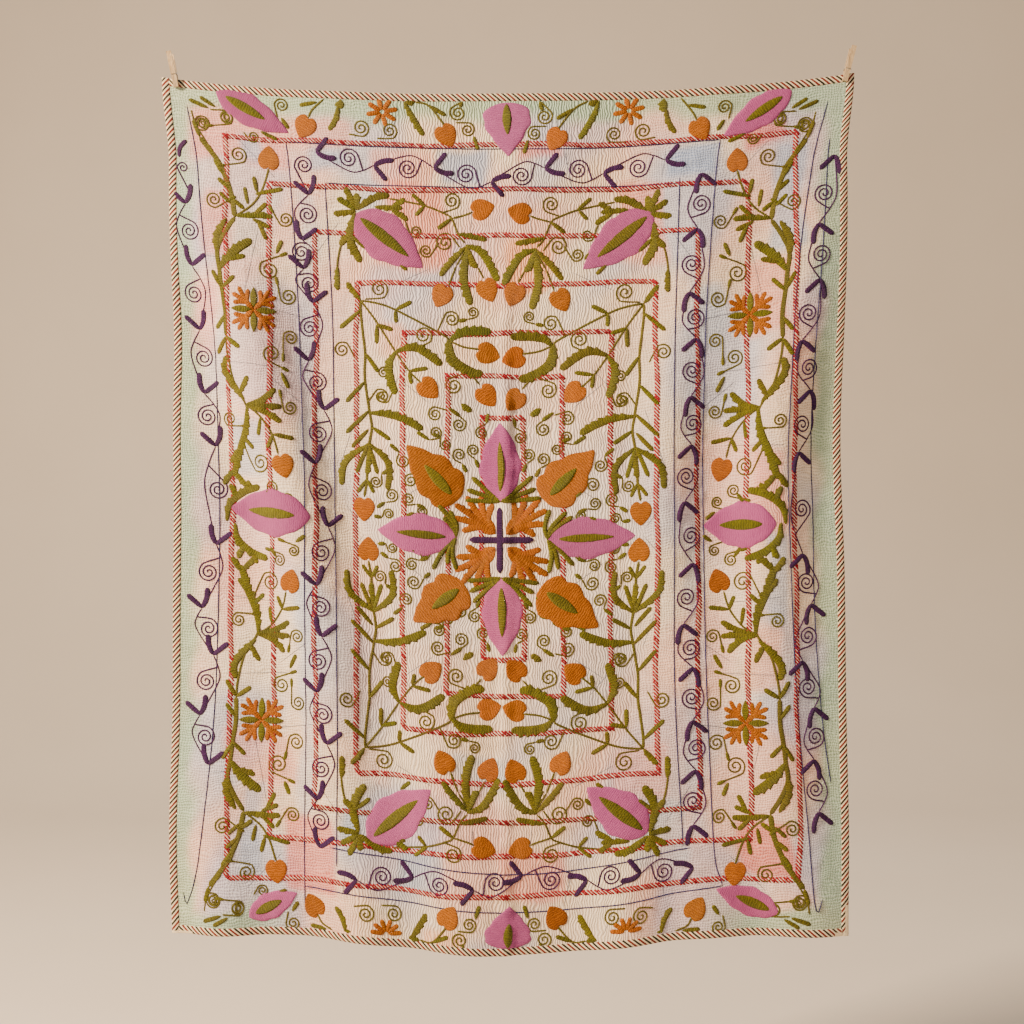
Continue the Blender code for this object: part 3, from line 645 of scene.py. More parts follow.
sprays = {  # thick olive leaves, mm: foot ... tip; the number is the half width
    "inner": (
        (4.5, (300, 455), (345, 415)), (4.5, (290, 365), (260, 325)), (4.5, (290, 305), (330, 260)),
        (4.5, (280, 245), (330, 195)), (7.0, (280, 240), (225, 235), (165, 210)), (4.5, (275, 210), (235, 185)),
        (6.0, (280, 175), (240, 135), (240, 80)), (6.0, (280, 175), (330, 135), (340, 85)),
        (3.8, (285, 100), (270, 72)), (3.8, (285, 100), (305, 72)), (5.0, (300, 475), (330, 512)),
        (5.0, (350, 545), (350, 495)), (4.5, (282, 175), (262, 112)), (4.5, (282, 175), (308, 112)),
        (4.5, (282, 205), (318, 165)), (5.0, (280, 160), (285, 110)),
        (4.5, (225, 457), (190, 475)), (4.5, (225, 457), (223, 430)), (4.5, (265, 425), (230, 415)),
        (4.5, (265, 425), (265, 385)), (7.5, (225, 370), (180, 378), (125, 345)), (7.5, (225, 370),
            (238, 335), (225, 280)),
        (4.2, (195, 330), (155, 337)), (4.2, (195, 330), (190, 303)), (8.5, (110, 395), (80, 412), (20, 415)),
        (8.5, (110, 395), (100, 355), (60, 330), (38, 328)), (7.0, (112, 398), (108, 362), (95, 340)),
        (7.0, (75, 595), (40, 578), (5, 520)), (7.5, (70, 592), (78, 530), (65, 470)), (5.5, (75, 592),
            (105, 560), (130, 530)),
        (6.0, (75, 595), (60, 560), (50, 548)), (5.0, (92, 618), (30, 606)), (4.5, (105, 650), (135, 628)),
        (5.5, (85, 265), (63, 250)), (6.5, (310, 665), (308, 700)), (6.5, (310, 665), (270, 690), (238, 697)),
        (5.0, (270, 672), (210, 670)), (5.5, (310, 665), (350, 688)), (5.5, (310, 668), (332, 712)),
        (5.5, (310, 662), (358, 655)), (7.5, (312, 660), (322, 605), (300, 555)), (6.0, (315, 620), (345, 590)),
        (5.0, (235, 670), (205, 690)), (5.0, (235, 668), (198, 645)), (4.5, (318, 610), (288, 585)),
        (4.0, (222, 560), (200, 540)), (4.0, (160, 675), (190, 700)), (4.0, (163, 675), (182, 655)),
    ),
    "panel": (
        (4.8, (520, 632), (500, 590)), (5.5, (565, 635), (520, 640), (487, 640)), (4.8, (528, 640), (500, 668)),
        (4.8, (530, 632), (492, 616)), (6.5, (585, 628), (603, 592), (605, 556)), (4.5, (525, 685), (465, 700)),
        (4.5, (520, 688), (528, 722)), (4.2, (540, 662), (547, 698)), (8.0, (600, 520), (572, 555), (532, 588)),
        (5.0, (585, 540), (545, 552)), (4.5, (480, 563), (468, 592)), (4.5, (595, 480), (568, 508)),
        (4.5, (595, 480), (617, 517)), (4.5, (470, 312), (453, 280)), (6.0, (545, 240), (512, 250), (482, 277)),
        (5.5, (545, 240), (505, 240), (468, 240)), (5.5, (540, 238), (505, 228), (468, 208)),
            (6.5, (548, 250), (592, 305), (592, 340)),
        (5.0, (560, 262), (540, 300)), (4.8, (590, 380), (558, 358)), (4.8, (590, 380), (612, 343)),
        (4.5, (485, 182), (442, 175)), (4.2, (485, 182), (497, 152)), (4.2, (512, 215), (517, 178)),
        (5.5, (580, 100), (552, 70)), (5.5, (580, 105), (604, 72)), (5.0, (565, 150), (588, 118)),
        (4.5, (555, 175), (530, 150)), (4.5, (590, 425), (612, 395)), (4.8, (592, 720), (612, 752)),
        (4.5, (578, 690), (604, 712)), (4.5, (572, 670), (548, 652)), (4.0, (450, 30), (430, 15)),
            (4.0, (497, 66), (512, 45)),
        (4.5, (640, 795), (650, 830)), (4.0, (576, 660), (600, 682)), (7.0, (541, 240), (548, 190),
            (568, 140), (582, 90)),
        (5.5, (574, 40), (590, 74)), (5.0, (556, 54), (547, 84)), (6.8, (598, -4), (590, 32), (560, 58), (520, 72)),
    ),
    "border": (
        (4.2, (80, 902), (86, 882)), (4.2, (57, 822), (48, 793)), (4.2, (150, 886), (115, 865)),
        (5.5, (202, 912), (190, 870), (163, 823)), (5.0, (200, 905), (180, 895)), (7.5, (335, 912), (335, 874)),
        (5.0, (340, 880), (346, 855), (362, 828)), (4.2, (385, 886), (422, 878)), (4.2, (462, 850), (448, 828)),
        (4.2, (615, 858), (655, 872)), (4.2, (508, 818), (473, 803)), (4.0, (600, 862), (632, 880)),
    ),
}
stems = {  # thin stems, mm; the number is the half width
    "inner": (
        (2.6, (300, 475), (300, 450), (295, 405), (290, 365), (290, 310), (280, 245), (275, 210), (280, 175),
            (285, 135), (285, 100), (291, 62)),
        (2.0, (322, 610), (340, 595), (350, 550), (350, 505)), (2.0, (300, 475), (265, 470), (225, 457),
            (125, 408), (110, 395)),
        (2.0, (300, 475), (265, 430), (235, 385), (225, 370)), (1.8, (225, 370), (195, 330), (165, 302)),
        (1.8, (110, 395), (80, 383), (45, 378)), (1.8, (65, 328), (45, 305)), (1.8, (75, 598), (90, 615),
            (105, 650), (120, 660), (160, 675), (210, 685), (240, 690)),
        (1.8, (105, 650), (75, 658), (60, 664)), (1.8, (50, 550), (36, 525)), (1.8, (95, 552), (112, 508)),
            (1.8, (70, 592), (95, 552)),
    ),
    "panel": (
        (4.2, (590, 380), (590, 435), (596, 480), (600, 520), (604, 560), (588, 598), (567, 632)),
        (4.8, (567, 632), (575, 680), (590, 720), (602, 745), (640, 795)),
        (2.0, (565, 635), (530, 663), (510, 695), (495, 742)), (2.2, (580, 100), (555, 170), (541, 210),
            (545, 240), (572, 285), (587, 345), (590, 380)),
        (1.9, (545, 240), (515, 220), (487, 182), (474, 140)),
    ),
    "border": (
        (1.9, (115, 840), (150, 885), (180, 915)), (1.9, (405, 852), (395, 870), (370, 912)),
    ),
}
curls = {  # centre a, b, radius, joint a, b, turn
    "inner": (
        (340, 370, 17, 310, 350, 1), (255, 275, 16, 283, 262, -1), (260, 500, 20, 292, 478, 1),
        (100, 302, 18, 72, 330, 1), (105, 440, 17, 135, 415, -1),
        (165, 405, 19, 195, 372, 1), (250, 275, 14, 226, 300, -1), (140, 242, 15, 112, 250, 1),
        (105, 687, 18, 125, 662, 1), (120, 600, 20, 88, 590, 1), (160, 582, 14, 132, 600, -1),
            (182, 622, 13, 205, 645, 1),
    ),
    "panel": (
        (560, 765, 18, 592, 740, 1), (630, 825, 17, 622, 778, -1), (580, 842, 15, 612, 822, 1),
            (460, 637, 16, 488, 652, 1),
        (495, 527, 21, 470, 560, 1), (612, 665, 17, 578, 668, -1), (455, 475, 18, 478, 500, 1),
        (450, 387, 16, 466, 350, -1), (490, 350, 18, 467, 322, -1), (450, 240, 15, 470, 262, 1),
        (586, 210, 15, 556, 196, -1), (515, 122, 21, 552, 152, 1), (455, 50, 12, 478, 30, 1), (490, 72, 14, 512, 52, 1),
    ),
    "border": (
        (90, 870, 17, 82, 904, 1), (70, 835, 15, 95, 850, -1), (235, 832, 17, 262, 815, 1), (295, 836, 18, 322, 822, 1),
        (460, 876, 15, 470, 850, -1), (580, 842, 15, 612, 855, -1), (632, 824, 16, 652, 850, 1),
            (525, 806, 12, 545, 815, 1),
    ),
}
barredCurls = (  # centre a, b, radius, foot of the small leaf at its end, tip of that leaf, turn
    (42, 206, 13, 32, 226, 28, 246, 1), (90, 222, 15, 112, 256, 88, 240, -1), (139, 204, 13, 152, 188, 178, 204, 1),
    (60, 170, 13, 56, 152, 48, 134, -1), (90, 160, 14, 84, 142, 74, 124, -1), (118, 180, 12, 128, 196, 146, 200, 1),
    (208, 142, 14, 216, 160, 236, 176, 1), (192, 102, 15, 170, 92, 156, 80, 1), (232, 70, 14, 246, 54, 264, 42, 1),
    (196, 64, 13, 180, 54, 160, 46, -1), (266, 96, 13, 254, 112, 238, 122, -1), (168, 40, 12, 184, 36, 200, 28, 1),
    (238, 30, 11, 252, 22, 270, 24, -1), (250, 325, 13, 240, 308, 226, 300, 1), (205, 600, 14, 190, 588, 176, 572, -1),
    (60, 455, 12, 72, 440, 90, 436, 1),
)
buds = {  # padded buds: centre a, b and the joint of the stem
    "inner": ((40, 670, 105, 652), (126, 489, 95, 552), (28, 502, 48, 552), (28, 370, 110, 395), (30, 283, 66, 328),
              (154, 295, 195, 332), (291, 38, 291, 90)),
    "panel": ((495, 762, 500, 700), (464, 118, 478, 168)),
    "border": ((413, 834, 392, 872), (115, 824, 140, 872)),
}


def sewQuarter(quarter):
    handed = 1 if quarters[quarter][0] * quarters[quarter][1] > 0 else -1
    for zone in ("inner", "panel", "border"):
        for width, *points in sprays[zone]:
            stroke("oliveLeaves", "olive", turnedTo(quarter, points), 1.25 * width, 1.9, shape="leaf")
        for width, *points in stems[zone]:
            stroke("oliveStems", "oliveFine", turnedTo(quarter, points), 1.4 * width, 1.4, step=6)
        for a, b, radius, jointA, jointB, turn in curls[zone]:
            centre, joint = turnedTo(quarter, [(a, b), (jointA, jointB)])
            path = curl(centre, radius, joint, turn * handed)
            stroke("oliveCurls", "oliveFine", path, 2.2, 1.3, step=3.4)
            if zone == "panel":    # a small leaf ends the loose tail
                ahead = (path[-1] - path[-2]) / np.hypot(*(path[-1] - path[-2]))
                stroke("oliveLeaves", "olive", [path[-1] - ahead * 5, path[-1] + ahead * 15], 4.4, 1.9, shape="leaf")
        for a, b, radius, footA, footB, tipA, tipB, turn in barredCurls if zone == "inner" else ():
            centre, foot, tip = turnedTo(quarter, [(a, b), (footA, footB), (tipA, tipB)])
            stroke("oliveCurls", "oliveFine", curl(centre, radius, foot, turn * handed), 2.2, 1.3, step=3.4)
            stroke("oliveLeaves", "olive", [foot, tip], 5.0, 1.9, shape="leaf")
        for a, b, jointA, jointB in buds[zone]:
            heart(*turnedTo(quarter, [(a, b), (jointA, jointB)]))


seams = (  # joins of the pieced ground, mm: start, end
    ((230, 300), (188, 346)), ((345, 640), (402, 560)), ((518, 610), (548, 470)), ((470, 322), (612, 330)),
    ((470, 168), (602, 158)), ((300, 255), (345, 120)), ((150, 262), (215, 312)), ((150, 545), (236, 505)),
    ((132, 800), (150, 722)), ((345, 800), (338, 735)), ((520, 450), (405, 430)), ((425, 250), (492, 300)),
    ((240, 812), (216, 868)), ((565, 540), (640, 548)), ((60, 690), (64, 625)), ((480, 720), (560, 800)),
    ((130, 120), (215, 60)), ((330, 45), (300, 5)),
)
for quarter in quarters:
    sewQuarter(quarter)
    for start, end in seams:
        stroke("seamLines", "seam", turnedTo(quarter, [start, end]), 0.8, 0.5, step=12)
print("vines, curls and buds sewn")


# flowers

flowers = {
    "centrePetals": (  # base, tip, half width
        ((0, 72), (-2, 236), 46), ((2, -80), (4, -242), 44), ((-92, -2), (-256, 5), 44), ((95, -5), (280, -8), 44)),
    "sidePetals": (((-398, 22), (-578, 34), 50), ((578, -2), (425, 2), 50)),
    "cornerPetals": (  # outer end, tip towards the middle, half width
        ((-305, 665), (-163, 555), 50), ((318, 665), (172, 552), 46), ((-275, -640), (-145, -522), 48),
            ((303, -625), (178, -520), 46)),
    "borderPetals": (
        ((-585, 905), (-440, 828), 34), ((598, 900), (462, 815), 34), ((-528, -815), (-428, -765), 28),
            ((578, -805), (448, -752), 30)),
    "edgePetals": (((12, 900), (16, 788), 50), ((14, -838), (18, -752), 50)),
    "leafFlowers": (  # round end, pointed tip
        ((-92, 74), (-196, 184)), ((92, 74), (196, 174)), ((-76, -98), (-182, -180)), ((82, -104), (204, -192))),
    "bursts": ((-517, 448), (523, 437), (-508, -408), (510, -412)),
    "littleFlowers": ((-244, 880), (264, 880)),
    "halfFlowers": ((-238, -828), (260, -820)),
    "hands": ((-12, 8, 140), (11, 8, 40), (-12, -20, 222), (14, -20, -40)),    # root a, b, heading in degrees
}


def pinkPetal(base, tip, halfWidth, coreFrom, coreTo, coreWidth, swell=0.85):
    def petal(t, y):
        return np.sin(np.pi * np.clip(t, 0, 1) ** swell) ** 0.85 * (0.93 + 0.12 * np.abs(np.sin(3.4 * np.pi * t + 0.4 * np.sign(y))))
    fill("pinkPetals", "pink", base, tip, halfWidth, petal, height=2.7, along=26, across=11)
    base, tip = np.array(base, float), np.array(tip, float)
    fill("oliveCores", "olive", base + (tip - base) * coreFrom, base + (tip - base) * coreTo, coreWidth, almond,
         height=4.4, along=14, across=7)


for base, tip, halfWidth in flowers["centrePetals"]:
    pinkPetal(base, tip, halfWidth, 0.12, 0.78, 10)
for base, tip, halfWidth in flowers["sidePetals"]:
    pinkPetal(base, tip, halfWidth, 0.16, 0.80, 13)
for base, tip, halfWidth in flowers["cornerPetals"]:
    pinkPetal(base, tip, halfWidth, 0.06, 0.82, 14, swell=0.75)
for base, tip, halfWidth in flowers["borderPetals"]:
    pinkPetal(base, tip, halfWidth, 0.12, 0.70, 12, swell=0.8)
for base, tip, halfWidth in flowers["edgePetals"]:
    pinkPetal(base, tip, halfWidth, 0.02, 0.62, 11, swell=0.55)


def lobedLeaf(t, y):
    # full at its round end and drawn to a point, with three soft scallops
    body = np.sin(np.pi * np.clip(t, 0, 1) ** 0.62) ** 0.62 * (1 - 0.30 * smoothStep((t - 0.55) / 0.45))
    return body * (0.90 + 0.20 * np.abs(np.sin(3.1 * np.pi * t + 0.5 * np.sign(y))))


for base, tip in flowers["leafFlowers"]:
    fill("orangeFlowers", "orange", base, tip, 46, lobedLeaf, height=3.0, along=30, across=13)
    base, tip = np.array(base, float), np.array(tip, float)
    fill("oliveCores", "olive", base + (tip - base) * 0.10, base + (tip - base) * 0.66, 13, almond, height=4.8, along=14, across=7)

for a, b in flowers["bursts"]:
    for quarterTurn in range(4):
        axis = math.radians(90 * quarterTurn)
        foot = (a + 5 * math.cos(axis), b + 5 * math.sin(axis))
        end = (a + 48 * math.cos(axis), b + 48 * math.sin(axis))
        fill("oliveCores", "olive", foot, end, 8.0, almond, height=2.0, along=10, across=7)
        diagonal = axis + math.radians(45)
        fork = (a + 20 * math.cos(diagonal), b + 20 * math.sin(diagonal))
        for spread, reach in ((-30, 44), (-11, 56), (9, 55), (28, 45)):
            angle = diagonal + math.radians(spread)
            stroke("orangeFingers", "orange", [(a, b), fork, (a + reach * math.cos(angle), b + reach * math.sin(angle))], 5.6, 1.9, shape="leaf")
for a, b in flowers["littleFlowers"]:
    for k in range(8):
        angle = math.radians(45 * k + 12)
        stroke("orangeFingers", "orange", [(a + 4 * math.cos(angle), b + 4 * math.sin(angle)),
                                           (a + 33 * math.cos(angle), b + 31 * math.sin(angle))], 6.0, 1.8, shape="leaf")
for a, b in flowers["halfFlowers"]:
    for k in range(6):
        angle = math.radians(8 + 33 * k)
        stroke("orangeFingers", "orange", [(a + 4 * math.cos(angle), b + 4 * math.sin(angle)),
                                           (a + 33 * math.cos(angle), b + 30 * math.sin(angle))], 5.5, 1.8, shape="leaf")
for a, b, heading in flowers["hands"]:
    middle = math.radians(heading)
    palm = (a + 56 * math.cos(middle), b + 56 * math.sin(middle))
    fill("orangeFlowers", "orange", (a, b), palm, 17, almond, height=1.6, along=12, across=9)
    for spread, reach in ((-44, 62), (-27, 84), (-11, 98), (5, 103), (20, 92), (36, 70)):
        angle = math.radians(heading + spread)
        fork = (a + 30 * math.cos(middle + 0.4 * (angle - middle)), b + 30 * math.sin(middle + 0.4 * (angle - middle)))
        stroke("orangeFingers", "orange", [(a, b), fork, (a + reach * math.cos(angle), b + reach * math.sin(angle))], 7.0, 2.0, shape="leaf")

# the cross in the middle, and the calyxes of the large petals
stroke("purpleChevrons", "purple", [(-3, 62), (-2, -72)], 8.0, 4.0, step=8)
stroke("purpleChevrons", "purple", [(-66, -5), (69, -5)], 7.5, 3.8, step=8)
calyxes = (  # root, then the prongs' tips
    ((0, 74), (-62, 124), (-72, 98), (-76, 76), (69, 126), (75, 100), (86, 80)),
    ((2, -82), (-70, -90), (-66, -112), (-58, -134), (80, -94), (70, -114), (66, -142)),
    ((-94, -1), (-132, 66), (-108, 54), (-120, 40), (-142, -70), (-112, -58), (-92, -70)),
    ((97, -5), (103, 56), (138, 50), (150, 40), (100, -74), (120, -68), (152, -62)),
)
for root, *tips in calyxes:
    for tip in tips:
        bend = (0.6 * root[0] + 0.4 * tip[0] + 0.12 * (tip[1] - root[1]) * (1 if tip[0] * root[1] > 0 else -1), 0.55 * root[1] + 0.45 * tip[1])
        stroke("oliveLeaves", "olive", [root, bend, tip], 6.0, 2.9, shape="leaf")
print("flowers sewn")


# candy-stripe lines: white cord under slanting red stitches

candy = {
    "frames": (  # left, right, top, bottom
        (-574, 618, 812, -734), (-484, 518, 718, -652), (-388, 412, 622, -583), (-302, 325, 521, -503),
        (-204, 230, 420, -402), (-112, 130, 331, -325), (-40, 48, 248, -248)),
    "half": 5.0, "pitch": 7.4, "slashHalf": 2.6, "lean": 7.0,
}


def candyLine(start, end, slantSign):
    # white: a low band; red: short ridges across it, pitch apart, leaning along the line by lean
    start, end = np.array(start, float), np.array(end, float)
    length = np.hypot(*(end - start))
    along = (end - start) / length
    across = np.array((-along[1], along[0]))
    count = int(length / 40) + 2
    t = np.linspace(0, length, count)
    wander = 1.6 * np.sin(t / 61 + start[0]) + 1.1 * np.sin(t / 27 + start[1])
    path = start + along * t[:, None] + across * wander[:, None]
    stroke("candyWhite", "white", path, candy["half"], 0.45, step=11)
    t = np.arange(candy["pitch"] * 0.6, length, candy["pitch"])
    t = t + 0.5 * shades.standard_normal(len(t))
    wander = 1.6 * np.sin(t / 61 + start[0]) + 1.1 * np.sin(t / 27 + start[1])
    middle = start + along * t[:, None] + across * wander[:, None]
    lean = along * slantSign * candy["lean"] + across * (candy["half"] + 0.5)
    direction = lean / np.hypot(*lean)
    normal = np.array((-direction[1], direction[0]))
    rows = np.array([-1.0, -0.75, 0.0, 0.75, 1.0])
    wide = np.array([0.45, 1.0, 1.0, 1.0, 0.45]) * candy["slashHalf"]
    ring = np.array([-1.0, 0.0, 1.0])
    flat = (middle[:, None, None, :] + lean * rows[:, None, None] * np.ones((1, 3, 1))
            + normal * (wide[:, None] * ring)[..., None])
    rise = np.array([-0.2, 1.45, -0.2])[None, None, :] * np.ones((len(t), 5, 1))
    place = onCloth(flat[..., 0], flat[..., 1], rise).reshape(-1, 3)
    index = np.arange(len(t) * 15).reshape(len(t), 5, 3)
    after = np.roll(index, -1, axis=2)
    faces = np.stack((index[:, :-1], after[:, :-1], after[:, 1:], index[:, 1:]), axis=-1).reshape(-1, 4)
    ends = np.concatenate((index[:, 0, [0, 1, 2, 2]], index[:, -1, [2, 1, 0, 0]]))
    faces = np.concatenate((faces[:, ::-1], ends))
    uvs = np.tile(np.stack(np.broadcast_arrays(rows[:, None] * 6, (wide[:, None] * ring)), axis=-1).reshape(-1, 2), (len(t), 1))
    addThread("candyRed", "red", place, faces, uvs * 0.001)


for left, right, top, low in candy["frames"]:
    candyLine((left, top), (right, top), -1)
    candyLine((left, low), (right, low), -1)
    candyLine((left, low), (left, top), 1)
    candyLine((right, low), (right, top), 1)
print("candy lines sewn")


# navy lines and the purple bands between them

navyLines = (
    [(-447, 809), (-432, 600), (-418, 300), (-410, 0), (-410, -400), (-412, -790)],
    [(-447, 809), (-200, 806), (100, 803), (456, 808)],
    [(456, 808), (433, 500), (425, 200), (427, -200), (440, -640), (461, -747)],
    [(-412, -750), (-100, -762), (200, -766), (461, -747)],
    [(-368, 727), (-352, 400), (-346, 0), (-342, -400), (-340, -700)],
    [(-368, 727), (0, 724), (382, 722)],
    [(375, 735), (362, 300), (360, 0), (364, -400), (378, -660)],
    [(-355, -662), (-100, -682), (150, -688), (395, -664)],
    [(-647, 867), (-629, 670), (-609, 422), (-600, 6), (-605, -369), (-629, -679), (-659, -788), (-668, -768)],
    [(675, 869), (626, 561), (607, 250), (605, 4), (617, -366), (640, -675), (655, -799), (668, -776)],
    [(688, 790), (672, 540), (662, 360), (660, 200), (662, 20), (660, -180), (672, -380), (682, -480), (690, -540)],
)
for points in navyLines:
    stroke("navyLines", "navy", points, 1.6, 1.1, step=9)

bands = {  # chevrons: apex, then its two arms' ends; curls sit between them on the wavy thread
    "leftInner": ((-402, 701), (-417, 605), (-413, 545), (-396, 475), (-402, 352), (-370, 250), (-388, 135),
        (-362, 5), (-385, -118), (-374, -224), (-384, -340), (-364, -447), (-382, -565), (-377, -665)),
    "rightInner": ((420, 740), (412, 625), (394, 492), (410, 395), (396, 274), (400, 172), (382, 55),
        (402, -75), (380, -200), (402, -292), (398, -402), (405, -505), (398, -618)),
    "top": ((-385, 790), (-265, 768), (-140, 764), (-20, 736), (93, 762), (216, 752), (345, 772)),
    "bottom": ((-298, -722), (-182, -708), (-56, -718), (45, -692), (180, -710), (290, -706), (400, -705)),
    "leftOuter": ((-660, 660), (-650, 532), (-640, 400), (-632, 268), (-607, 160), (-607, -45), (-634, -178),
        (-610, -275), (-636, -400), (-616, -502)),
    "rightOuter": ((700, 752), (664, 612), (668, 496), (630, 372), (655, 268), (628, 142), (636, -68),
        (652, -172), (632, -288), (656, -385), (654, -492), (660, -600)),
}
headings = {"leftInner": -90, "rightInner": 90, "top": 180, "bottom": 0, "leftOuter": -90, "rightOuter": 90}


def sewBand(name, apexes):
    # each chevron points along the band; between two of them the thread swings out into a curl
    heading = math.radians(headings[name])
    ahead = np.array((math.cos(heading), math.sin(heading)))
    beside = np.array((-ahead[1], ahead[0]))
    apexes = [np.array(apex, float) for apex in apexes]
    if name.startswith("right"):
        apexes = apexes[::-1]
    if name == "top":
        apexes = apexes[::-1]
    swing = 1
    for apex, following in zip(apexes, apexes[1:] + [None]):
        # one arm runs back nearly along the band, the other leans well out
        bent = [apex, apex - ahead * 20 + beside * swing * 9, apex - ahead * 42 + beside * swing * 11]
        stroke("purpleChevrons", "purple", bent, 6.6, 2.2, shape="bar")
        stroke("purpleChevrons", "purple", [apex, apex - ahead * 26 - beside * swing * 32], 6.2, 2.2, shape="bar")
        if following is not None:
            gap = following - apex
            out = beside * swing
            low = apex + gap * 0.20 - out * 16
            wavy = [following, following - gap * 0.28 - out * 13, apex + gap * 0.40 - out * 24, low, apex]
            stroke("purpleCurls", "purple", wavy, 1.8, 1.2, step=6)
            stroke("purpleCurls", "purple", curl(apex + gap * 0.44 + out * 3, 21, low, swing, 2.3), 2.0, 1.3, step=3.4)
        swing = -swing


for name, apexes in bands.items():
    sewBand(name, apexes)
stroke("purpleCurls", "purple", curl((-412, 762), 20, (-402, 701), 1, 2.3), 2.0, 1.3, step=3.4)    # top left corner
stroke("purpleCurls", "purple", curl((-666, 735), 12, (-654, 690), 1, 1.8), 2.0, 1.3, step=3.4)
stroke("purpleChevrons", "purple", [(-674, 756), (-671, 776), (-656, 794)], 5.4, 2.2, shape="bar")
print("bands sewn")


# join the threads of each piece

def joinThreads():
    made = []
    for piece, parts in threads.items():
        starts = np.cumsum([0] + [len(part[0]) for part in parts])
        faces = [part[1] + start for part, start in zip(parts, starts)]
        joined = meshObject(
            piece, np.concatenate([part[0] for part in parts]), np.concatenate(faces), yarns[yarnOf[piece]],
            np.concatenate([part[2] for part in parts]), np.concatenate([part[3] for part in parts]))
        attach(joined, "root")
        print("  ", piece, len(joined.data.polygons) * 2, "triangles")
        made.append(joined)
    return made


sewn = joinThreads()
print("threads joined")


# pegs

pegs = {"beechLight": "#CDB691", "beechDark": "#8C7352", "grain": 0.0011, "steel": "#B9B6B0"}


def beech():
    # sawn beech, unvarnished: pale, with fine straight grain along the peg and short darker flecks
    material, tree, shader = newMaterial("beech", 0.62)
    place = addNode(tree, "ShaderNodeTexCoord").outputs["Object"]
    stretched = addNode(tree, "ShaderNodeMapping", {"Scale": (1.0, 1.0, 0.12)}, {"Vector": place}).outputs[0]
    grain = addNode(tree, "ShaderNodeTexNoise", {"Scale": 1 / pegs["grain"], "Detail": 3.0, "Roughness": 0.6}, {"Vector": stretched})
    fleck = addNode(tree, "ShaderNodeTexNoise", {"Scale": 260.0, "Detail": 1.0}, {"Vector": stretched})
    total = addNode(tree, "ShaderNodeMath", {1: 0.5}, {0: fleck.outputs["Fac"], 2: grain.outputs["Fac"]}, operation="MULTIPLY_ADD")
    fac = addNode(tree, "ShaderNodeMapRange", {"From Min": 0.55, "From Max": 0.95}, {"Value": total.outputs[0]})
    mixed = addNode(tree, "ShaderNodeMix", {"A": linear(pegs["beechDark"]), "B": linear(pegs["beechLight"])},
                    {"Factor": fac.outputs[0]}, data_type="RGBA")
    tree.links.new(mixed.outputs[2], shader.inputs["Base Color"])
    bump = addNode(tree, "ShaderNodeBump", {"Strength": 0.4, "Distance": 0.0003}, {"Height": grain.outputs["Fac"]})
    tree.links.new(bump.outputs[0], shader.inputs["Normal"])
    return material


def springWire():
    # drawn, zinc-plated steel wire: bright, with faint lengthwise marks and duller specks
    material, tree, shader = newMaterial("springWire", 0.34, Metallic=1.0)
    place = addNode(tree, "ShaderNodeTexCoord").outputs["Object"]
    speck = addNode(tree, "ShaderNodeTexNoise", {"Scale": 900.0, "Detail": 2.0}, {"Vector": place})
    shader.inputs["Base Color"].default_value = linear(pegs["steel"])
    dull = addNode(tree, "ShaderNodeMapRange", {"To Min": 0.25, "To Max": 0.5}, {"Value": speck.outputs["Fac"]})
    tree.links.new(dull.outputs[0], shader.inputs["Roughness"])
    return material


wood, wire = beech(), springWire()
for side in ("left", "right"):
    for part, material in (("back_leg", wood), ("front_leg", wood), ("spring", wire)):
        node = bpy.data.objects[side + "_peg_" + part]
        for materialSlot in node.material_slots:
            materialSlot.material = material
print("pegs finished")


# studio

def plainPlaster():
    # matt off-white wall paint over plaster, with a very slight unevenness
    material, tree, shader = newMaterial("plainPlaster", 0.9)
    place = addNode(tree, "ShaderNodeTexCoord").outputs["Object"]
    cloud = addNode(tree, "ShaderNodeTexNoise", {"Scale": 1.5, "Detail": 3.0}, {"Vector": place})
    mixed = addNode(tree, "ShaderNodeMix", {"A": linear("#DCD2C5"), "B": linear("#E4DBCF")},
                    {"Factor": cloud.outputs["Fac"]}, data_type="RGBA")
    tree.links.new(mixed.outputs[2], shader.inputs["Base Color"])
    return material


studio = {
    "floor": -2.30, "near": -9.0, "bend": 3.6, "radius": 2.0, "height": 9.0, "half": 9.0,
    "camera": (0.008, -2.93, -0.887), "lens": 50.0,
    "lights": (  # name, place, aim, size, watts, colour
        ("window", (-3.9, -2.0, 1.3), (0.0, 0.0, -0.9), 0.7, 800.0, "#FFE2BE"),
        ("fill", (2.6, -4.2, 0.6), (0.0, 0.0, -0.9), 3.4, 36.0, "#F2F0F4"),
        ("back", (1.5, 3.2, 2.2), (0.0, 0.0, -0.9), 3.0, 80.0, "#FFF4E6"),
    ),
}


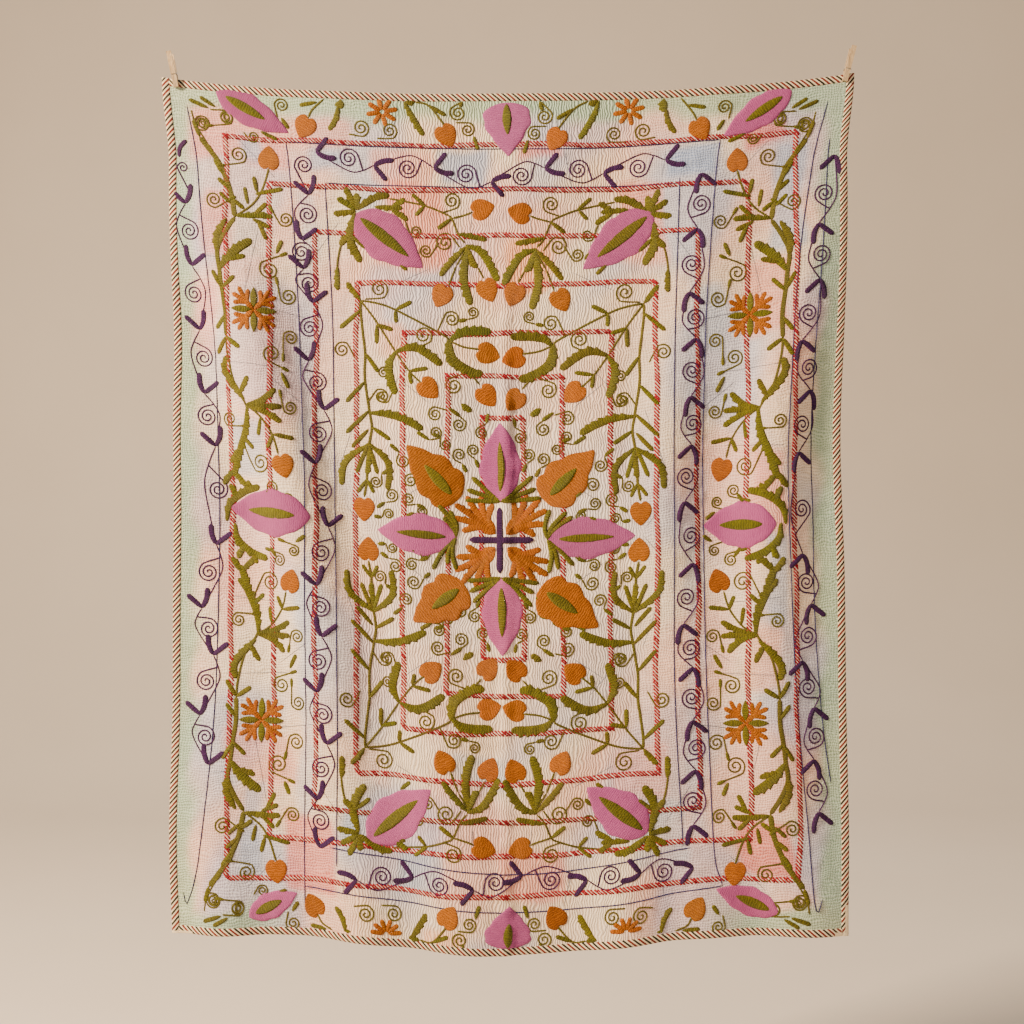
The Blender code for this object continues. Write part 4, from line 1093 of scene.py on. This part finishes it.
def buildSweep():
    # a studio basin: rounded oblong floor, then a quarter circle and a wall up from its rim,
    # ring = corner centre + (1 m + run) * (cos, sin)
    turn = np.linspace(0, np.pi / 2, 17)
    run = np.append(studio["radius"] * np.sin(turn), studio["radius"])[:, None] + 1.0
    rise = np.append(studio["radius"] * (1 - np.cos(turn)), studio["height"])[:, None] + studio["floor"]
    corner = np.repeat(np.arange(4), 13)
    angle = np.tile(np.linspace(0, np.pi / 2, 13), 4) + corner * np.pi / 2
    sideX = np.array((1, -1, -1, 1))[corner] * (studio["half"] - 1.0)
    sideY = np.array((studio["bend"] - 1.0, studio["bend"] - 1.0, studio["near"] + 1.0, studio["near"] + 1.0))[corner]
    rings = np.stack((sideX + run * np.cos(angle), sideY + run * np.sin(angle), rise + 0 * angle), axis=-1)
    points = np.vstack((rings.reshape(-1, 3), (0.0, 0.0, studio["floor"])))
    index = np.arange(rings.shape[0] * rings.shape[1]).reshape(rings.shape[:2])
    after = np.roll(index, -1, axis=1)
    walls = np.stack((index[:-1], index[1:], after[1:], after[:-1]), axis=-1).reshape(-1, 4)
    floor = np.stack((np.full(len(corner), len(points) - 1), index[0], after[0], after[0]), axis=-1)
    made = meshObject("sweep", points, np.concatenate((walls, floor)), plainPlaster())


def aimed(made, place, aim):
    gap = np.array(aim) - np.array(place)
    made.location = place
    made.rotation_euler = (math.acos(-gap[2] / np.linalg.norm(gap)), 0.0, math.atan2(gap[1], gap[0]) - math.pi / 2)
    bpy.context.scene.collection.objects.link(made)


buildSweep()
for name, place, aim, size, watts, colour in studio["lights"]:
    lamp = bpy.data.lights.new(name, "AREA")
    lamp.size = size
    lamp.energy = watts
    lamp.color = linear(colour)[:3]
    made = bpy.data.objects.new(name, lamp)
    made.visible_camera = False
    aimed(made, place, aim)
world = bpy.data.worlds.new("studioAir")
world.use_nodes = True
world.node_tree.nodes["Background"].inputs["Color"].default_value = linear("#F3EBE0")
world.node_tree.nodes["Background"].inputs["Strength"].default_value = 0.36
bpy.context.scene.world = world
lens = bpy.data.cameras.new("camera")
lens.lens = studio["lens"]
lens.sensor_width = 36.0
camera = bpy.data.objects.new("camera", lens)
camera.location = studio["camera"]
camera.rotation_euler = (math.pi / 2, 0.0, 0.0)
bpy.context.scene.collection.objects.link(camera)
bpy.context.scene.camera = camera
print("studio lit")


def plain(box):
    return [[float(value) for value in corner] for corner in box]
